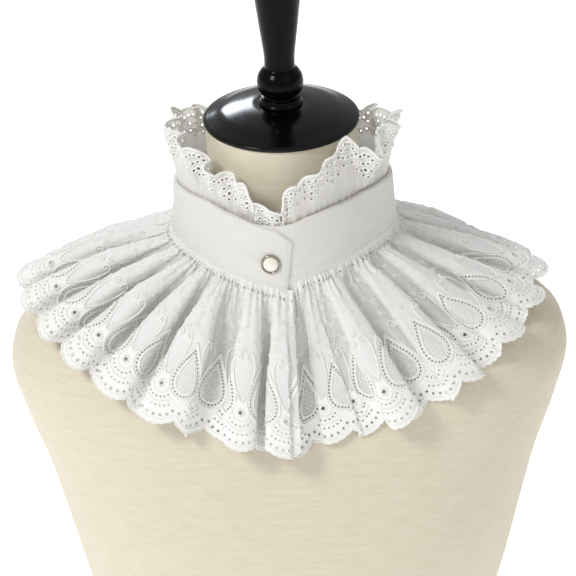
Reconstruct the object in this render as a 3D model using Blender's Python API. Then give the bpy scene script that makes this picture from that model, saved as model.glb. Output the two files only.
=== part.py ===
"""False collar on a limbless dress form: neck band, neck frill, gathered lace flounce, snap and form.

Lengths are millimetres here and are turned into metres when a mesh is made.
A turn is the angle round the neck axis in degrees: 0 is the front (minus Y), 90 is minus X,
180 is the back and 270 is plus X. Z is up and the flat bottom of the form is at zero.
"""
import math

import bmesh
import bpy
import numpy as np

MM = 0.001
GAP = 0.3

# Dress form
CAP_RIM_Z = 515.5
CAP_RIM_DEPTH = 2.8
CAP_RADIUS = 47.6
CAP_RISE = 9.0
CAP_RIM_BEVEL = 0.9
CAP_DOME_INSET = 0.8
CAP_DOME_PARTS = (0.98, 0.88, 0.72, 0.52, 0.30)
CAP_DOME_POWER = 2.2
CAP_SEAT_MARGIN = 1.5
NECK_TOP_Z = CAP_RIM_Z - CAP_RIM_DEPTH - GAP
TORSO_COLUMNS = 56
TORSO_ROWS = 28
TURNED_COLUMNS = 28

# Cloth
BAND_WALL = 2.0
LACE_WALL = 1.0
BAND_UNDER_END_TURN = 16.0
BAND_OVER_END_TURN = -2.8
BAND_END_CUT_TURN = 8.0
BAND_END_SLANT_TURN = 3.4
BAND_END_TOP_CUT = 6.0
BAND_END_TIP_DROP = 3.0
BAND_COLUMNS = 80
BAND_ROWS = 4
BAND_LAP_STEP = 2.6

FRILL_COLUMNS = 172
FRILL_ROW_PARTS = (1.0, 0.7, 0.35, 0.0, -1.0)
FRILL_FLARE = 2.5
FRILL_TUCK = 9.0
FRILL_INSET = 3.4
FRILL_SCALLOPS = 29
FRILL_SCALLOP_DEPTH = 3.8
FRILL_SCALLOP_ROUNDNESS = 0.7

FLOUNCE_COLUMNS_PER_HALF_FOLD = 5
FLOUNCE_ROW_PARTS = (0.0, 0.04, 0.17, 0.36, 0.57, 0.79, 1.0)
FLOUNCE_SCALLOPS = 54
FLOUNCE_SCALLOP_DEPTH = 6.5
FLOUNCE_CLEARANCE = 1.6
FLOUNCE_SEAM_DROP = 1.2
FLOUNCE_UNDER_DROP = 7.0
FLOUNCE_UNDER_TURN = 3.0
FOLD_START_AT = 0.02
FOLD_FULL_AT = 0.42
FOLD_GROW_POWER = 0.75
FAN_POWER = 0.85
SCALLOP_ROUNDNESS = 0.8
SEAM_LEAN_FADE = 18.0
PROFILE_TURN_STEP = 1.0
PROFILE_MARGIN = 12.0
PROFILE_STEP = 2.5
PROFILE_STEPS = 56
PROFILE_ABOVE = 10.0
PROFILE_BELOW = 150.0
PROFILE_FINE_STEP = 1.5

# Snap
SNAP_TURN = 7.6
SNAP_Z = 450.5
SNAP_RADIUS = 6.0
SNAP_PEARL_RADIUS = 4.7
SNAP_PEARL_RISE = 1.9
SNAP_PEARL_EDGE = 0.7
SNAP_PEARL_PARTS = (0.86, 0.62, 0.3)
SNAP_RING_EDGE = 0.9
SNAP_RING_RISE = 1.5
SNAP_RING_INNER_RISE = 1.3
SNAP_RING_BEVEL = 0.5
SNAP_COLUMNS = 20

TORSO_FIELDS = ("z", "half_width", "front", "back", "power")
TORSO_SECTIONS = (
    (0.0, 119.0, 88.0, 84.0, 2.2),
    (50.0, 117.0, 87.0, 83.0, 2.2),
    (110.0, 121.0, 92.0, 85.0, 2.2),
    (170.0, 132.0, 104.0, 91.0, 2.25),
    (210.0, 141.0, 111.0, 96.0, 2.3),
    (250.0, 149.0, 114.0, 101.0, 2.35),
    (290.0, 158.0, 109.0, 103.0, 2.4),
    (330.0, 171.0, 99.0, 101.0, 2.4),
    (356.0, 177.0, 91.0, 97.0, 2.35),
    (370.0, 174.0, 85.5, 93.0, 2.25),
    (380.0, 166.0, 81.0, 89.0, 2.15),
    (390.0, 149.0, 76.0, 84.5, 2.05),
    (400.0, 127.0, 71.0, 79.0, 2.0),
    (410.0, 104.0, 66.0, 73.0, 1.98),
    (419.0, 82.0, 61.0, 66.0, 1.98),
    (428.0, 62.0, 55.5, 58.0, 2.0),
    (437.0, 53.5, 51.0, 52.0, 2.0),
    (448.0, 49.5, 48.8, 49.0, 2.0),
    (470.0, 47.8, 47.8, 47.8, 2.0),
    (NECK_TOP_Z, 46.2, 46.2, 46.2, 2.0),
)

# Turned finial: height over the cap rim and radius, from the foot to the rounded top
FINIAL_PROFILE = (
    (8.6, 13.4),
    (10.2, 12.0),
    (12.6, 11.9),
    (13.4, 9.5),
    (15.6, 11.9),
    (19.0, 13.8),
    (22.8, 14.2),
    (26.6, 13.5),
    (30.2, 11.4),
    (32.8, 9.3),
    (38.0, 9.2),
    (60.0, 11.8),
    (84.0, 14.6),
    (104.0, 17.0),
    (112.0, 17.3),
    (117.0, 15.0),
    (119.6, 10.0),
)
FINIAL_TOP = 120.4

# The band round the neck: radius of its outer face at the top and bottom edge, its top and height
BAND_FIELDS = ("turn", "top", "bottom", "top_z", "height")
BAND_PLAN = (
    (0.0, 66.0, 69.5, 470.0, 36.5),
    (14.0, 63.5, 68.0, 473.0, 36.5),
    (30.0, 61.0, 66.0, 476.0, 36.5),
    (50.0, 60.5, 65.0, 477.5, 36.5),
    (70.0, 64.5, 67.5, 477.0, 34.5),
    (90.0, 68.0, 70.0, 474.5, 33.5),
    (135.0, 66.5, 69.5, 471.0, 33.0),
    (180.0, 64.0, 68.0, 470.0, 33.0),
    (225.0, 66.5, 69.5, 471.0, 33.0),
    (270.0, 67.2, 69.5, 475.5, 33.0),
    (290.0, 63.8, 67.0, 478.5, 33.5),
    (310.0, 60.2, 64.7, 479.5, 34.5),
    (330.0, 61.0, 66.0, 479.0, 35.5),
    (346.0, 63.5, 68.0, 477.0, 36.0),
    (360.0, 66.0, 69.5, 473.5, 35.5),
    (380.0, 62.6, 67.4, 472.0, 34.5),
)

# Folds of the neck frill: where each wave crest is, how far its top leans out (+) or in (-),
# and how high the cloth stands over the band there
FRILL_FIELDS = ("turn", "out", "rise")
FRILL_WAVES = (
    (5.5, 1.0, 8.0),
    (13.0, 2.0, 11.0),
    (21.0, 4.0, 21.0),
    (33.0, -6.0, 23.0),
    (45.0, 5.0, 26.0),
    (55.0, -6.0, 29.0),
    (65.0, 6.0, 35.0),
    (76.0, -4.0, 38.0),
    (87.0, 6.5, 38.0),
    (98.0, -5.0, 40.0),
    (108.0, 5.5, 40.0),
    (118.0, -6.0, 37.0),
    (129.0, 3.5, 33.0),
    (140.0, -6.0, 29.0),
    (150.0, 2.5, 27.0),
    (161.0, -6.5, 26.0),
    (172.0, 2.5, 25.0),
    (183.0, -6.0, 25.0),
    (194.0, 3.0, 25.0),
    (205.0, -6.5, 25.0),
    (215.0, 2.5, 26.0),
    (226.0, -6.5, 28.0),
    (237.0, 4.0, 31.0),
    (248.0, -5.0, 34.0),
    (259.0, 8.0, 36.0),
    (269.0, -3.0, 35.0),
    (279.0, 7.5, 36.0),
    (290.0, -3.0, 36.0),
    (304.0, 8.0, 31.0),
    (316.0, -4.0, 39.0),
    (325.0, -5.0, 33.0),
    (334.0, 2.0, 34.0),
    (345.0, 4.0, 29.0),
    (356.0, 2.5, 28.0),
    (361.5, 1.0, 15.0),
)

# Folds of the flounce, from the upper strip end at the front round the form to the under end.
# Crests and valleys alternate. seam and hem are turns in degrees, lift is how far the cloth
# stands off the form at the hem, and broad widens (+) or narrows (-) the top or floor of that fold.
FLOUNCE_FIELDS = ("seam", "hem", "lift", "broad")
FLOUNCE_FOLDS = (
    (-2.6, -2.4, 14.0, 0.3),
    (4.5, 5.0, 17.0, 0.6),
    (9.3, 10.2, 1.0, -0.6),
    (16.0, 14.7, 18.5, 0.3),
    (26.0, 26.5, 0.0, 0.2),
    (34.5, 40.5, 19.0, 0.5),
    (40.5, 47.0, 2.0, -0.2),
    (46.0, 53.0, 18.0, 0.4),
    (52.5, 59.5, 0.0, 0.0),
    (58.5, 64.8, 18.0, 0.4),
    (64.5, 70.0, 0.5, 0.0),
    (70.5, 75.0, 18.0, 0.4),
    (76.5, 79.7, 3.0, 0.1),
    (82.5, 84.2, 22.0, 0.4),
    (88.5, 89.0, 6.0, 0.0),
    (94.5, 94.2, 24.0, 0.5),
    (101.0, 101.0, 4.0, 0.0),
    (107.5, 107.0, 19.0, 0.4),
    (114.0, 113.5, 1.5, 0.0),
    (121.0, 120.5, 15.0, 0.3),
    (128.0, 127.0, 0.0, 0.1),
    (136.0, 135.0, 13.0, 0.4),
    (143.0, 142.0, 1.0, 0.0),
    (150.0, 149.5, 15.0, 0.3),
    (157.0, 156.5, 0.0, 0.3),
    (165.0, 165.0, 14.0, 0.3),
    (172.0, 172.5, 0.5, 0.1),
    (180.0, 180.5, 15.0, 0.4),
    (188.0, 188.0, 0.0, 0.1),
    (195.0, 195.0, 13.5, 0.3),
    (202.0, 202.5, 1.0, 0.1),
    (210.0, 210.5, 15.0, 0.3),
    (217.0, 217.5, 0.0, 0.1),
    (224.0, 225.0, 13.0, 0.4),
    (231.0, 232.0, 0.5, 0.1),
    (239.0, 240.0, 15.0, 0.4),
    (246.0, 246.5, 0.0, 0.1),
    (253.0, 253.0, 13.0, 0.3),
    (260.0, 259.5, 1.0, 0.1),
    (267.0, 266.0, 15.0, 0.4),
    (275.0, 273.0, 0.0, 0.1),
    (284.0, 280.0, 13.5, 0.4),
    (292.0, 286.5, 0.5, 0.2),
    (300.0, 293.0, 14.0, 0.4),
    (308.0, 300.0, 0.0, 0.3),
    (316.0, 307.5, 13.0, 0.3),
    (327.0, 316.0, 0.0, 0.5),
    (339.5, 325.0, 15.0, 0.3),
    (345.5, 331.5, 0.0, -0.2),
    (350.5, 344.0, 2.0, 0.5),
    (356.0, 353.0, 0.0, 0.3),
    (366.0, 366.0, 0.6, 0.0),
)
FOLD_STEEPNESS = 1.5
FOLD_STEEPEST = 1.85
FOLD_SPREAD_RATE = 2.5

# Cut depth of the flounce as it lies round the form
DEPTH_FIELDS = ("turn", "depth")
FLOUNCE_DEPTHS = (
    (-10.0, 101.0),
    (20.0, 101.5),
    (60.0, 103.0),
    (95.0, 108.0),
    (180.0, 104.0),
    (270.0, 105.5),
    (315.0, 107.0),
    (345.0, 104.0),
    (370.0, 100.0),
)


def column(fields, rows, name):
    """One named column of a table."""
    return np.array([row[fields.index(name)] for row in rows], dtype=float)


def smooth_through(x, xs, ys):
    """Value at x of a smooth curve through the points, with no overshoot between them."""
    xs = np.asarray(xs, dtype=float)
    ys = np.asarray(ys, dtype=float)
    step = np.diff(xs)
    slope = np.diff(ys) / step
    tangent = np.zeros(len(xs))
    tangent[0] = slope[0]
    tangent[-1] = slope[-1]
    for i in range(1, len(xs) - 1):
        if slope[i - 1] * slope[i] > 0:
            tangent[i] = 2.0 * slope[i - 1] * slope[i] / (slope[i - 1] + slope[i])
    x = float(min(max(x, xs[0]), xs[-1]))
    i = int(min(max(np.searchsorted(xs, x) - 1, 0), len(xs) - 2))
    t = (x - xs[i]) / step[i]
    return (
        (1 + 2 * t) * (1 - t) ** 2 * ys[i]
        + t * (1 - t) ** 2 * step[i] * tangent[i]
        + t * t * (3 - 2 * t) * ys[i + 1]
        + t * t * (t - 1) * step[i] * tangent[i + 1]
    )


def ease(t):
    """Slow start and slow end between 0 and 1."""
    t = min(max(t, 0.0), 1.0)
    return t * t * (3.0 - 2.0 * t)


def at_turn(radius, turn, z):
    """Point at a radius and turn round the neck axis."""
    angle = math.radians(turn)
    return np.array((-radius * math.sin(angle), -radius * math.cos(angle), z))


TORSO_Z = column(TORSO_FIELDS, TORSO_SECTIONS, "z")
TORSO_SHAPE = {name: column(TORSO_FIELDS, TORSO_SECTIONS, name) for name in TORSO_FIELDS[1:]}


def torso_radius(z, turn):
    """Distance from the neck axis to the form's surface at a height and turn."""
    wide, front, back, power = (smooth_through(z, TORSO_Z, TORSO_SHAPE[n]) for n in TORSO_FIELDS[1:])
    angle = math.radians(turn)
    across = abs(math.sin(angle)) / wide
    along = abs(math.cos(angle)) / (front if math.cos(angle) > 0 else back)
    return (across ** power + along ** power) ** (-1.0 / power)


def band_plan(turn, name):
    """One column of the band's table at a turn; the upper end runs a little past the front."""
    known = column(BAND_FIELDS, BAND_PLAN, "turn")
    return smooth_through(abs(turn), known, column(BAND_FIELDS, BAND_PLAN, name))


def band_radius(turn, part):
    """Radius of the band's outer face, part 0 at its top edge and 1 at its bottom edge."""
    return band_plan(turn, "top") * (1.0 - part) + band_plan(turn, "bottom") * part


def lap_lift(turn):
    """The upper end of the band lies outside the under end by one lap step."""
    return BAND_LAP_STEP * (1.0 - ease((turn - 20.0) / 40.0)) if turn < 180.0 else 0.0


def new_object(name, points, faces, material, sharp=None):
    """A closed body from points in millimetres, with its faces turned outward."""
    mesh = bpy.data.meshes.new(name)
    mesh.from_pydata([tuple(float(c) * MM for c in p) for p in points], [], faces)
    body = bmesh.new()
    body.from_mesh(mesh)
    bmesh.ops.recalc_face_normals(body, faces=body.faces)
    if body.calc_volume(signed=True) < 0:
        bmesh.ops.reverse_faces(body, faces=body.faces)
    body.to_mesh(mesh)
    body.free()
    mesh.materials.append(material)
    mesh.shade_smooth()
    if sharp is not None:
        mesh.set_sharp_from_angle(angle=math.radians(sharp))
    made = bpy.data.objects.new(name, mesh)
    bpy.context.scene.collection.objects.link(made)
    return made


def new_material(name, colour, roughness, metallic=0.0, coat=0.0):
    material = bpy.data.materials.new(name)
    material.use_nodes = True
    shader = material.node_tree.nodes["Principled BSDF"]
    shader.inputs["Base Color"].default_value = (*colour, 1.0)
    shader.inputs["Roughness"].default_value = roughness
    shader.inputs["Metallic"].default_value = metallic
    shader.inputs["Coat Weight"].default_value = coat
    return material


def stacked_rings(rings):
    """Points and faces of a solid through rings of equal length, closed flat at both ends."""
    count = len(rings[0])
    points = [p for ring in rings for p in ring]
    faces = []
    for row in range(len(rings) - 1):
        for i in range(count):
            j = (i + 1) % count
            low = row * count
            high = low + count
            faces.append((low + i, low + j, high + j, high + i))
    faces.append(tuple(range(count)))
    faces.append(tuple(range((len(rings) - 1) * count, len(rings) * count)))
    return points, faces


def turned_solid(name, profile, top_z, material, sharp):
    """A solid turned about the neck axis from heights and radii, ending in a point at the top."""
    points = []
    faces = []
    for z, radius in profile:
        points.extend(at_turn(radius, 360.0 * i / TURNED_COLUMNS, z) for i in range(TURNED_COLUMNS))
    for row in range(len(profile) - 1):
        for i in range(TURNED_COLUMNS):
            j = (i + 1) % TURNED_COLUMNS
            low = row * TURNED_COLUMNS
            high = low + TURNED_COLUMNS
            faces.append((low + i, low + j, high + j, high + i))
    last = (len(profile) - 1) * TURNED_COLUMNS
    points.append(np.array((0.0, 0.0, top_z)))
    faces.extend((last + i, last + (i + 1) % TURNED_COLUMNS, len(points) - 1) for i in range(TURNED_COLUMNS))
    faces.append(tuple(range(TURNED_COLUMNS)))
    return new_object(name, points, faces, material, sharp)


def cloth_body(name, middle, wall, material):
    """An open strip of cloth with a wall, from a grid of points on its middle surface."""
    grid = np.array(middle)
    along = np.gradient(grid, axis=0)
    down = np.gradient(grid, axis=1)
    normal = np.cross(along, down)
    normal /= np.linalg.norm(normal, axis=2)[:, :, None]
    columns, rows = grid.shape[:2]
    points = np.concatenate((grid + normal * wall / 2, grid - normal * wall / 2)).reshape(-1, 3)
    back = columns * rows

    def at(i, j, side):
        return side * back + i * rows + j

    faces = []
    for i in range(columns - 1):
        for j in range(rows - 1):
            faces.append((at(i, j, 0), at(i + 1, j, 0), at(i + 1, j + 1, 0), at(i, j + 1, 0)))
            faces.append((at(i, j, 1), at(i, j + 1, 1), at(i + 1, j + 1, 1), at(i + 1, j, 1)))
        for j in (0, rows - 1):
            faces.append((at(i, j, 0), at(i + 1, j, 0), at(i + 1, j, 1), at(i, j, 1)))
    for j in range(rows - 1):
        for i in (0, columns - 1):
            faces.append((at(i, j, 0), at(i, j + 1, 0), at(i, j + 1, 1), at(i, j, 1)))
    return new_object(name, points, faces, material, 60.0)


def make_form(linen, lacquer):
    """Linen covered torso and neck, with its turned neck cap and finial in black lacquer."""
    key_z = np.linspace(0.0, 1.0, TORSO_ROWS)
    heights = [smooth_through(t * (len(TORSO_Z) - 1), range(len(TORSO_Z)), TORSO_Z) for t in key_z]
    turns = [360.0 * i / TORSO_COLUMNS for i in range(TORSO_COLUMNS)]
    rings = [[at_turn(torso_radius(z, t), t, z) for t in turns] for z in heights]
    points, faces = stacked_rings(rings)
    new_object("form_torso", points, faces, linen, 50.0)

    low = CAP_RIM_Z - CAP_RIM_DEPTH
    rim = [(low, CAP_RADIUS - CAP_RIM_BEVEL)]
    rim += [(low + CAP_RIM_BEVEL, CAP_RADIUS), (CAP_RIM_Z - CAP_RIM_BEVEL, CAP_RADIUS)]
    dome = []
    for part in CAP_DOME_PARTS:
        height = CAP_RISE * (1.0 - part ** CAP_DOME_POWER)
        dome.append((CAP_RIM_Z + height, (CAP_RADIUS - CAP_DOME_INSET) * part))
    flat = CAP_RIM_Z + FINIAL_PROFILE[0][0] - GAP
    seat = [(flat, FINIAL_PROFILE[0][1] + CAP_SEAT_MARGIN)]
    turned_solid("neck_cap", rim + dome + seat, flat, lacquer, 40.0)
    profile = [(CAP_RIM_Z + z, r) for z, r in FINIAL_PROFILE]
    turned_solid("finial", profile, CAP_RIM_Z + FINIAL_TOP, lacquer, 40.0)


def band_edges(turn):
    """Heights of the band's top and bottom edge; its upper end has a cut corner and a drooping tip."""
    near = max(0.0, 1.0 - (turn - BAND_OVER_END_TURN) / BAND_END_CUT_TURN) if turn < 90.0 else 0.0
    top = band_plan(turn, "top_z")
    bottom = top - band_plan(turn, "height")
    return top - BAND_END_TOP_CUT * near ** 1.6, bottom - BAND_END_TIP_DROP * near ** 1.4


def make_band(cotton):
    """Plain stand band: one closed strip round the neck whose ends lap at the front."""
    grid = []
    for turn in np.linspace(BAND_OVER_END_TURN, 360.0 + BAND_UNDER_END_TURN, BAND_COLUMNS + 1):
        top, bottom = band_edges(turn)
        slant = BAND_END_SLANT_TURN * max(0.0, 1.0 - (turn - BAND_OVER_END_TURN) / BAND_END_CUT_TURN)
        line = []
        for part in np.linspace(0.0, 1.0, BAND_ROWS):
            radius = band_radius(turn, part) + lap_lift(turn) - BAND_WALL / 2
            line.append(at_turn(radius, turn + slant * part, top + (bottom - top) * part))
        grid.append(line)
    cloth_body("neck_band", grid, BAND_WALL, cotton)


def frill_line(turn, out, rise):
    """Points of the frill from its free edge down to where it is tucked behind the band."""
    line = []
    for part in FRILL_ROW_PARTS:
        over = rise * part if part > 0 else FRILL_TUCK * part
        up = max(part, 0.0)
        radius = band_radius(turn, 0.0) - FRILL_INSET + (out + FRILL_FLARE * up) * up
        line.append(at_turn(radius, turn, band_plan(turn, "top_z") + over))
    return line


def make_frill(lace):
    """Gathered frill standing up inside the band, scalloped at its free edge."""
    wave_turn, wave_out, wave_rise = (column(FRILL_FIELDS, FRILL_WAVES, name) for name in FRILL_FIELDS)
    waves = []
    for i in range(FRILL_COLUMNS + 1):
        step = i / FRILL_COLUMNS * (len(wave_turn) - 1)
        turn = smooth_through(step, range(len(wave_turn)), wave_turn)
        waves.append((turn, smooth_through(turn, wave_turn, wave_out), smooth_through(turn, wave_turn, wave_rise)))
    free_edge = np.array([frill_line(*wave)[0] for wave in waves])
    running = path_length(free_edge, 0)
    grid = []
    for (turn, out, rise), length in zip(waves, running):
        lobe = abs(math.sin(math.pi * FRILL_SCALLOPS * length / running[-1])) ** FRILL_SCALLOP_ROUNDNESS
        grid.append(frill_line(turn, out, rise - FRILL_SCALLOP_DEPTH * (1.0 - lobe)))
    cloth_body("neck_frill", grid, LACE_WALL, lace)


def form_profiles():
    """Down-the-form lines from the band's lower edge, one for each profile turn.

    Each line gives the form's surface at even steps of length, its outward normal in the
    upright plane of the line, and the height of the band's edge off the form.
    """
    turns = np.arange(-PROFILE_MARGIN, 360.0 + PROFILE_MARGIN + PROFILE_TURN_STEP, PROFILE_TURN_STEP)
    lines = []
    normals = []
    starts = []
    for turn in turns:
        seam_r = band_radius(turn, 1.0) + lap_lift(turn) - BAND_WALL / 4
        seam_z = band_edges(turn)[1] - FLOUNCE_SEAM_DROP
        under = ease((turn - 360.0 - BAND_OVER_END_TURN) / FLOUNCE_UNDER_TURN + 1.0)
        seam_z -= under * FLOUNCE_UNDER_DROP
        heights = np.arange(seam_z + PROFILE_ABOVE, seam_z - PROFILE_BELOW, -PROFILE_FINE_STEP)
        body = np.array([(torso_radius(z, turn), z) for z in heights])
        length = np.concatenate(([0.0], np.cumsum(np.linalg.norm(np.diff(body, axis=0), axis=1))))
        near = np.argmin(np.hypot(body[:, 0] - seam_r, body[:, 1] - seam_z))
        steps = length[near] + np.arange(PROFILE_STEPS) * PROFILE_STEP
        line = np.stack((np.interp(steps, length, body[:, 0]), np.interp(steps, length, body[:, 1])), axis=1)
        tangent = np.gradient(line, axis=0)
        tangent /= np.linalg.norm(tangent, axis=1)[:, None]
        normal = np.stack((-tangent[:, 1], tangent[:, 0]), axis=1)
        toward = np.array((seam_r, seam_z)) - line[0]
        first = toward / np.linalg.norm(toward)
        blend = np.exp(-np.arange(PROFILE_STEPS) * PROFILE_STEP / SEAM_LEAN_FADE)[:, None]
        normal = normal * (1.0 - blend) + first * blend
        normal /= np.linalg.norm(normal, axis=1)[:, None]
        lines.append(line)
        normals.append(normal)
        starts.append(np.linalg.norm(toward))
    return turns, np.array(lines), np.array(normals), np.array(starts)


def flounce_surface(phase, down, length, profiles):
    """Points of the flounce at fold phases and parts of the way down, for a given cut depth."""
    turns, lines, normals, starts = profiles
    last = len(FLOUNCE_FOLDS) - 1
    i = np.clip(np.floor(phase).astype(int), 0, last - 1)
    w = phase - i
    seam = column(FLOUNCE_FIELDS, FLOUNCE_FOLDS, "seam")
    hem = column(FLOUNCE_FIELDS, FLOUNCE_FOLDS, "hem")
    lift = column(FLOUNCE_FIELDS, FLOUNCE_FOLDS, "lift")
    broad = column(FLOUNCE_FIELDS, FLOUNCE_FOLDS, "broad")
    lean = (broad[i] - broad[i + 1]) / 2
    steep = np.minimum(FOLD_STEEPNESS + (broad[i] + broad[i + 1]) / 4, FOLD_STEEPEST)
    spread = np.clip(down * FOLD_SPREAD_RATE, 0.0, 1.0)
    f = w + spread * (lean * np.sin(math.pi * w) / math.pi + steep * np.sin(2 * math.pi * w) / (2 * math.pi))
    way = down ** FAN_POWER
    first = seam[i] + (hem[i] - seam[i]) * way
    second = seam[i + 1] + (hem[i + 1] - seam[i + 1]) * way
    turn = first + (second - first) * f
    stand = lift[i] + (lift[i + 1] - lift[i]) * (1 - np.cos(math.pi * w)) / 2
    grow = np.clip((down - FOLD_START_AT) / (FOLD_FULL_AT - FOLD_START_AT), 0.0, 1.0) ** FOLD_GROW_POWER
    t = (turn - turns[0]) / PROFILE_TURN_STEP
    a = np.clip(np.floor(t).astype(int), 0, len(turns) - 2)
    t = t - a
    s = down * length / PROFILE_STEP
    b = np.clip(np.floor(s).astype(int), 0, PROFILE_STEPS - 2)
    s = s - b

    def sample(table):
        near = table[a, b] * (1 - s)[..., None] + table[a, b + 1] * s[..., None]
        far = table[a + 1, b] * (1 - s)[..., None] + table[a + 1, b + 1] * s[..., None]
        return near * (1 - t)[..., None] + far * t[..., None]

    start = starts[a] * (1 - t) + starts[a + 1] * t
    off = start + (FLOUNCE_CLEARANCE + stand - start) * grow
    place = sample(lines) + sample(normals) * off[..., None]
    angle = np.radians(turn)
    return np.stack((-place[..., 0] * np.sin(angle), -place[..., 0] * np.cos(angle), place[..., 1]), axis=-1)


def path_length(points, axis):
    """Running length of a grid of points along one of its axes."""
    steps = np.linalg.norm(np.diff(points, axis=axis), axis=-1)
    start = np.zeros_like(np.take(steps, [0], axis=axis))
    return np.concatenate((start, np.cumsum(steps, axis=axis)), axis=axis)


def make_flounce(lace):
    """Wide gathered lace strip over the shoulders, its ends lapped at the front."""
    profiles = form_profiles()
    count = (len(FLOUNCE_FOLDS) - 1) * FLOUNCE_COLUMNS_PER_HALF_FOLD + 1
    phase = np.linspace(0.0, len(FLOUNCE_FOLDS) - 1.0, count)[:, None]
    down = np.array(FLOUNCE_ROW_PARTS)[None, :]
    phase, down = np.broadcast_arrays(phase, down)
    hem = np.interp(phase[:, 0], range(len(FLOUNCE_FOLDS)), column(FLOUNCE_FIELDS, FLOUNCE_FOLDS, "hem"))
    known = column(DEPTH_FIELDS, FLOUNCE_DEPTHS, "turn")
    depth = np.interp(hem, known, column(DEPTH_FIELDS, FLOUNCE_DEPTHS, "depth"))[:, None]
    length = depth
    for _ in range(4):
        points = flounce_surface(phase, down, length, profiles)
        made = path_length(points, 1)[:, -1:]
        wide = path_length(points, 0)[:, -2]
        part = wide / wide[-1]
        notch = 1.0 - np.abs(np.sin(math.pi * FLOUNCE_SCALLOPS * part)) ** SCALLOP_ROUNDNESS
        length = length * (depth - FLOUNCE_SCALLOP_DEPTH * notch[:, None]) / made
    cloth_body("flounce", flounce_surface(phase, down, length, profiles), LACE_WALL, lace)


def make_snap(metal, pearl):
    """Pearl snap cap in its metal ring, on the upper end of the band."""
    height = band_plan(SNAP_TURN, "height")
    part = (band_plan(SNAP_TURN, "top_z") - SNAP_Z) / height
    centre = at_turn(band_radius(SNAP_TURN, part) + lap_lift(SNAP_TURN) + GAP, SNAP_TURN, SNAP_Z)
    above = at_turn(band_radius(SNAP_TURN, part - 0.1), SNAP_TURN, SNAP_Z + height * 0.1)
    below = at_turn(band_radius(SNAP_TURN, part + 0.1), SNAP_TURN, SNAP_Z - height * 0.1)
    up = (above - below) / np.linalg.norm(above - below)
    side = np.cross(up, at_turn(1.0, SNAP_TURN, 0.0))
    side /= np.linalg.norm(side)
    out = np.cross(side, up)
    if np.dot(out, at_turn(1.0, SNAP_TURN, 0.0)) < 0:
        out = -out

    def ring(radius, height):
        angles = [2 * math.pi * i / SNAP_COLUMNS for i in range(SNAP_COLUMNS)]
        return [centre + radius * (math.cos(a) * side + math.sin(a) * up) + height * out for a in angles]

    hole = SNAP_PEARL_RADIUS + GAP
    rim = [(SNAP_RADIUS, 0.0), (SNAP_RADIUS, SNAP_RING_EDGE), (SNAP_RADIUS - SNAP_RING_BEVEL, SNAP_RING_RISE)]
    rim += [(hole, SNAP_RING_INNER_RISE), (hole, 0.0)]
    rings = [ring(r, h) for r, h in rim]
    points = [p for loop in rings for p in loop]
    faces = []
    for row in range(len(rings)):
        nxt = (row + 1) % len(rings)
        for i in range(SNAP_COLUMNS):
            j = (i + 1) % SNAP_COLUMNS
            low = row * SNAP_COLUMNS
            high = nxt * SNAP_COLUMNS
            faces.append((low + i, low + j, high + j, high + i))
    new_object("snap_ring", points, faces, metal, 40.0)
    dome = [(SNAP_PEARL_RADIUS, 0.0), (SNAP_PEARL_RADIUS, SNAP_PEARL_EDGE)]
    for part in SNAP_PEARL_PARTS:
        rise = SNAP_PEARL_EDGE + SNAP_PEARL_RISE * math.sqrt(1.0 - part ** 2)
        dome.append((SNAP_PEARL_RADIUS * part, rise))
    points, faces = stacked_rings([ring(r, h) for r, h in dome])
    new_object("snap_pearl", points, faces, pearl, 60.0)


def main():
    for old in list(bpy.data.objects):
        bpy.data.objects.remove(old, do_unlink=True)
    linen = new_material("linen", (0.74, 0.68, 0.55), 0.9)
    lacquer = new_material("black_lacquer", (0.008, 0.008, 0.009), 0.12, coat=1.0)
    cotton = new_material("cotton", (0.86, 0.85, 0.82), 0.85)
    lace = new_material("cotton_lace", (0.88, 0.88, 0.87), 0.85)
    metal = new_material("snap_metal", (0.55, 0.52, 0.46), 0.3, metallic=1.0)
    pearl = new_material("pearl", (0.90, 0.88, 0.83), 0.25, coat=0.6)
    make_form(linen, lacquer)
    make_band(cotton)
    make_frill(lace)
    make_flounce(lace)
    make_snap(metal, pearl)


main()
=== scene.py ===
"""False collar on a limbless dress form: neck band, neck frill, gathered lace flounce, snap and form.

Lengths are millimetres until a mesh is made. A turn is the angle round the neck axis in degrees:
0 is the front (minus Y), 90 is minus X, 180 is the back and 270 is plus X.
"""
import math

import bmesh
import bpy
import numpy as np
from mathutils import Matrix, Vector, geometry


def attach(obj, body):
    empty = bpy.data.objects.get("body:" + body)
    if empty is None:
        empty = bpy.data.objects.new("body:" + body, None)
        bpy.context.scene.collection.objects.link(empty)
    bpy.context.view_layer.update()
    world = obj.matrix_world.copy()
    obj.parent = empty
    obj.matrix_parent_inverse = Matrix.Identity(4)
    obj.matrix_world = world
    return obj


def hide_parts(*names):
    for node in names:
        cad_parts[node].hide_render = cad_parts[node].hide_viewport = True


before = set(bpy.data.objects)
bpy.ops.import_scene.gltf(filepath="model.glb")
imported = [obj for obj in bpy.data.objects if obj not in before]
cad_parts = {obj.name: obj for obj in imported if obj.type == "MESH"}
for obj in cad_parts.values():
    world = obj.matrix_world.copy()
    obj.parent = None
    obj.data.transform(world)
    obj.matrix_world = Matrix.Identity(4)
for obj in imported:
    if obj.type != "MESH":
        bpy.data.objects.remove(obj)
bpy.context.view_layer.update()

# Dress form: torso and neck
# A hard limbless form covered in cream linen that is stretched over it and sewn up the middle of
# the front and back. It is cut flat below, where it stands.
MM = 0.001
TORSO_COLUMNS = 144
TORSO_ROWS = 110
TORSO_SHARP_ANGLE = 50.0
LINEN_LIGHT = "#E9E2CF"
LINEN_DARK = "#D7CDB4"

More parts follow.
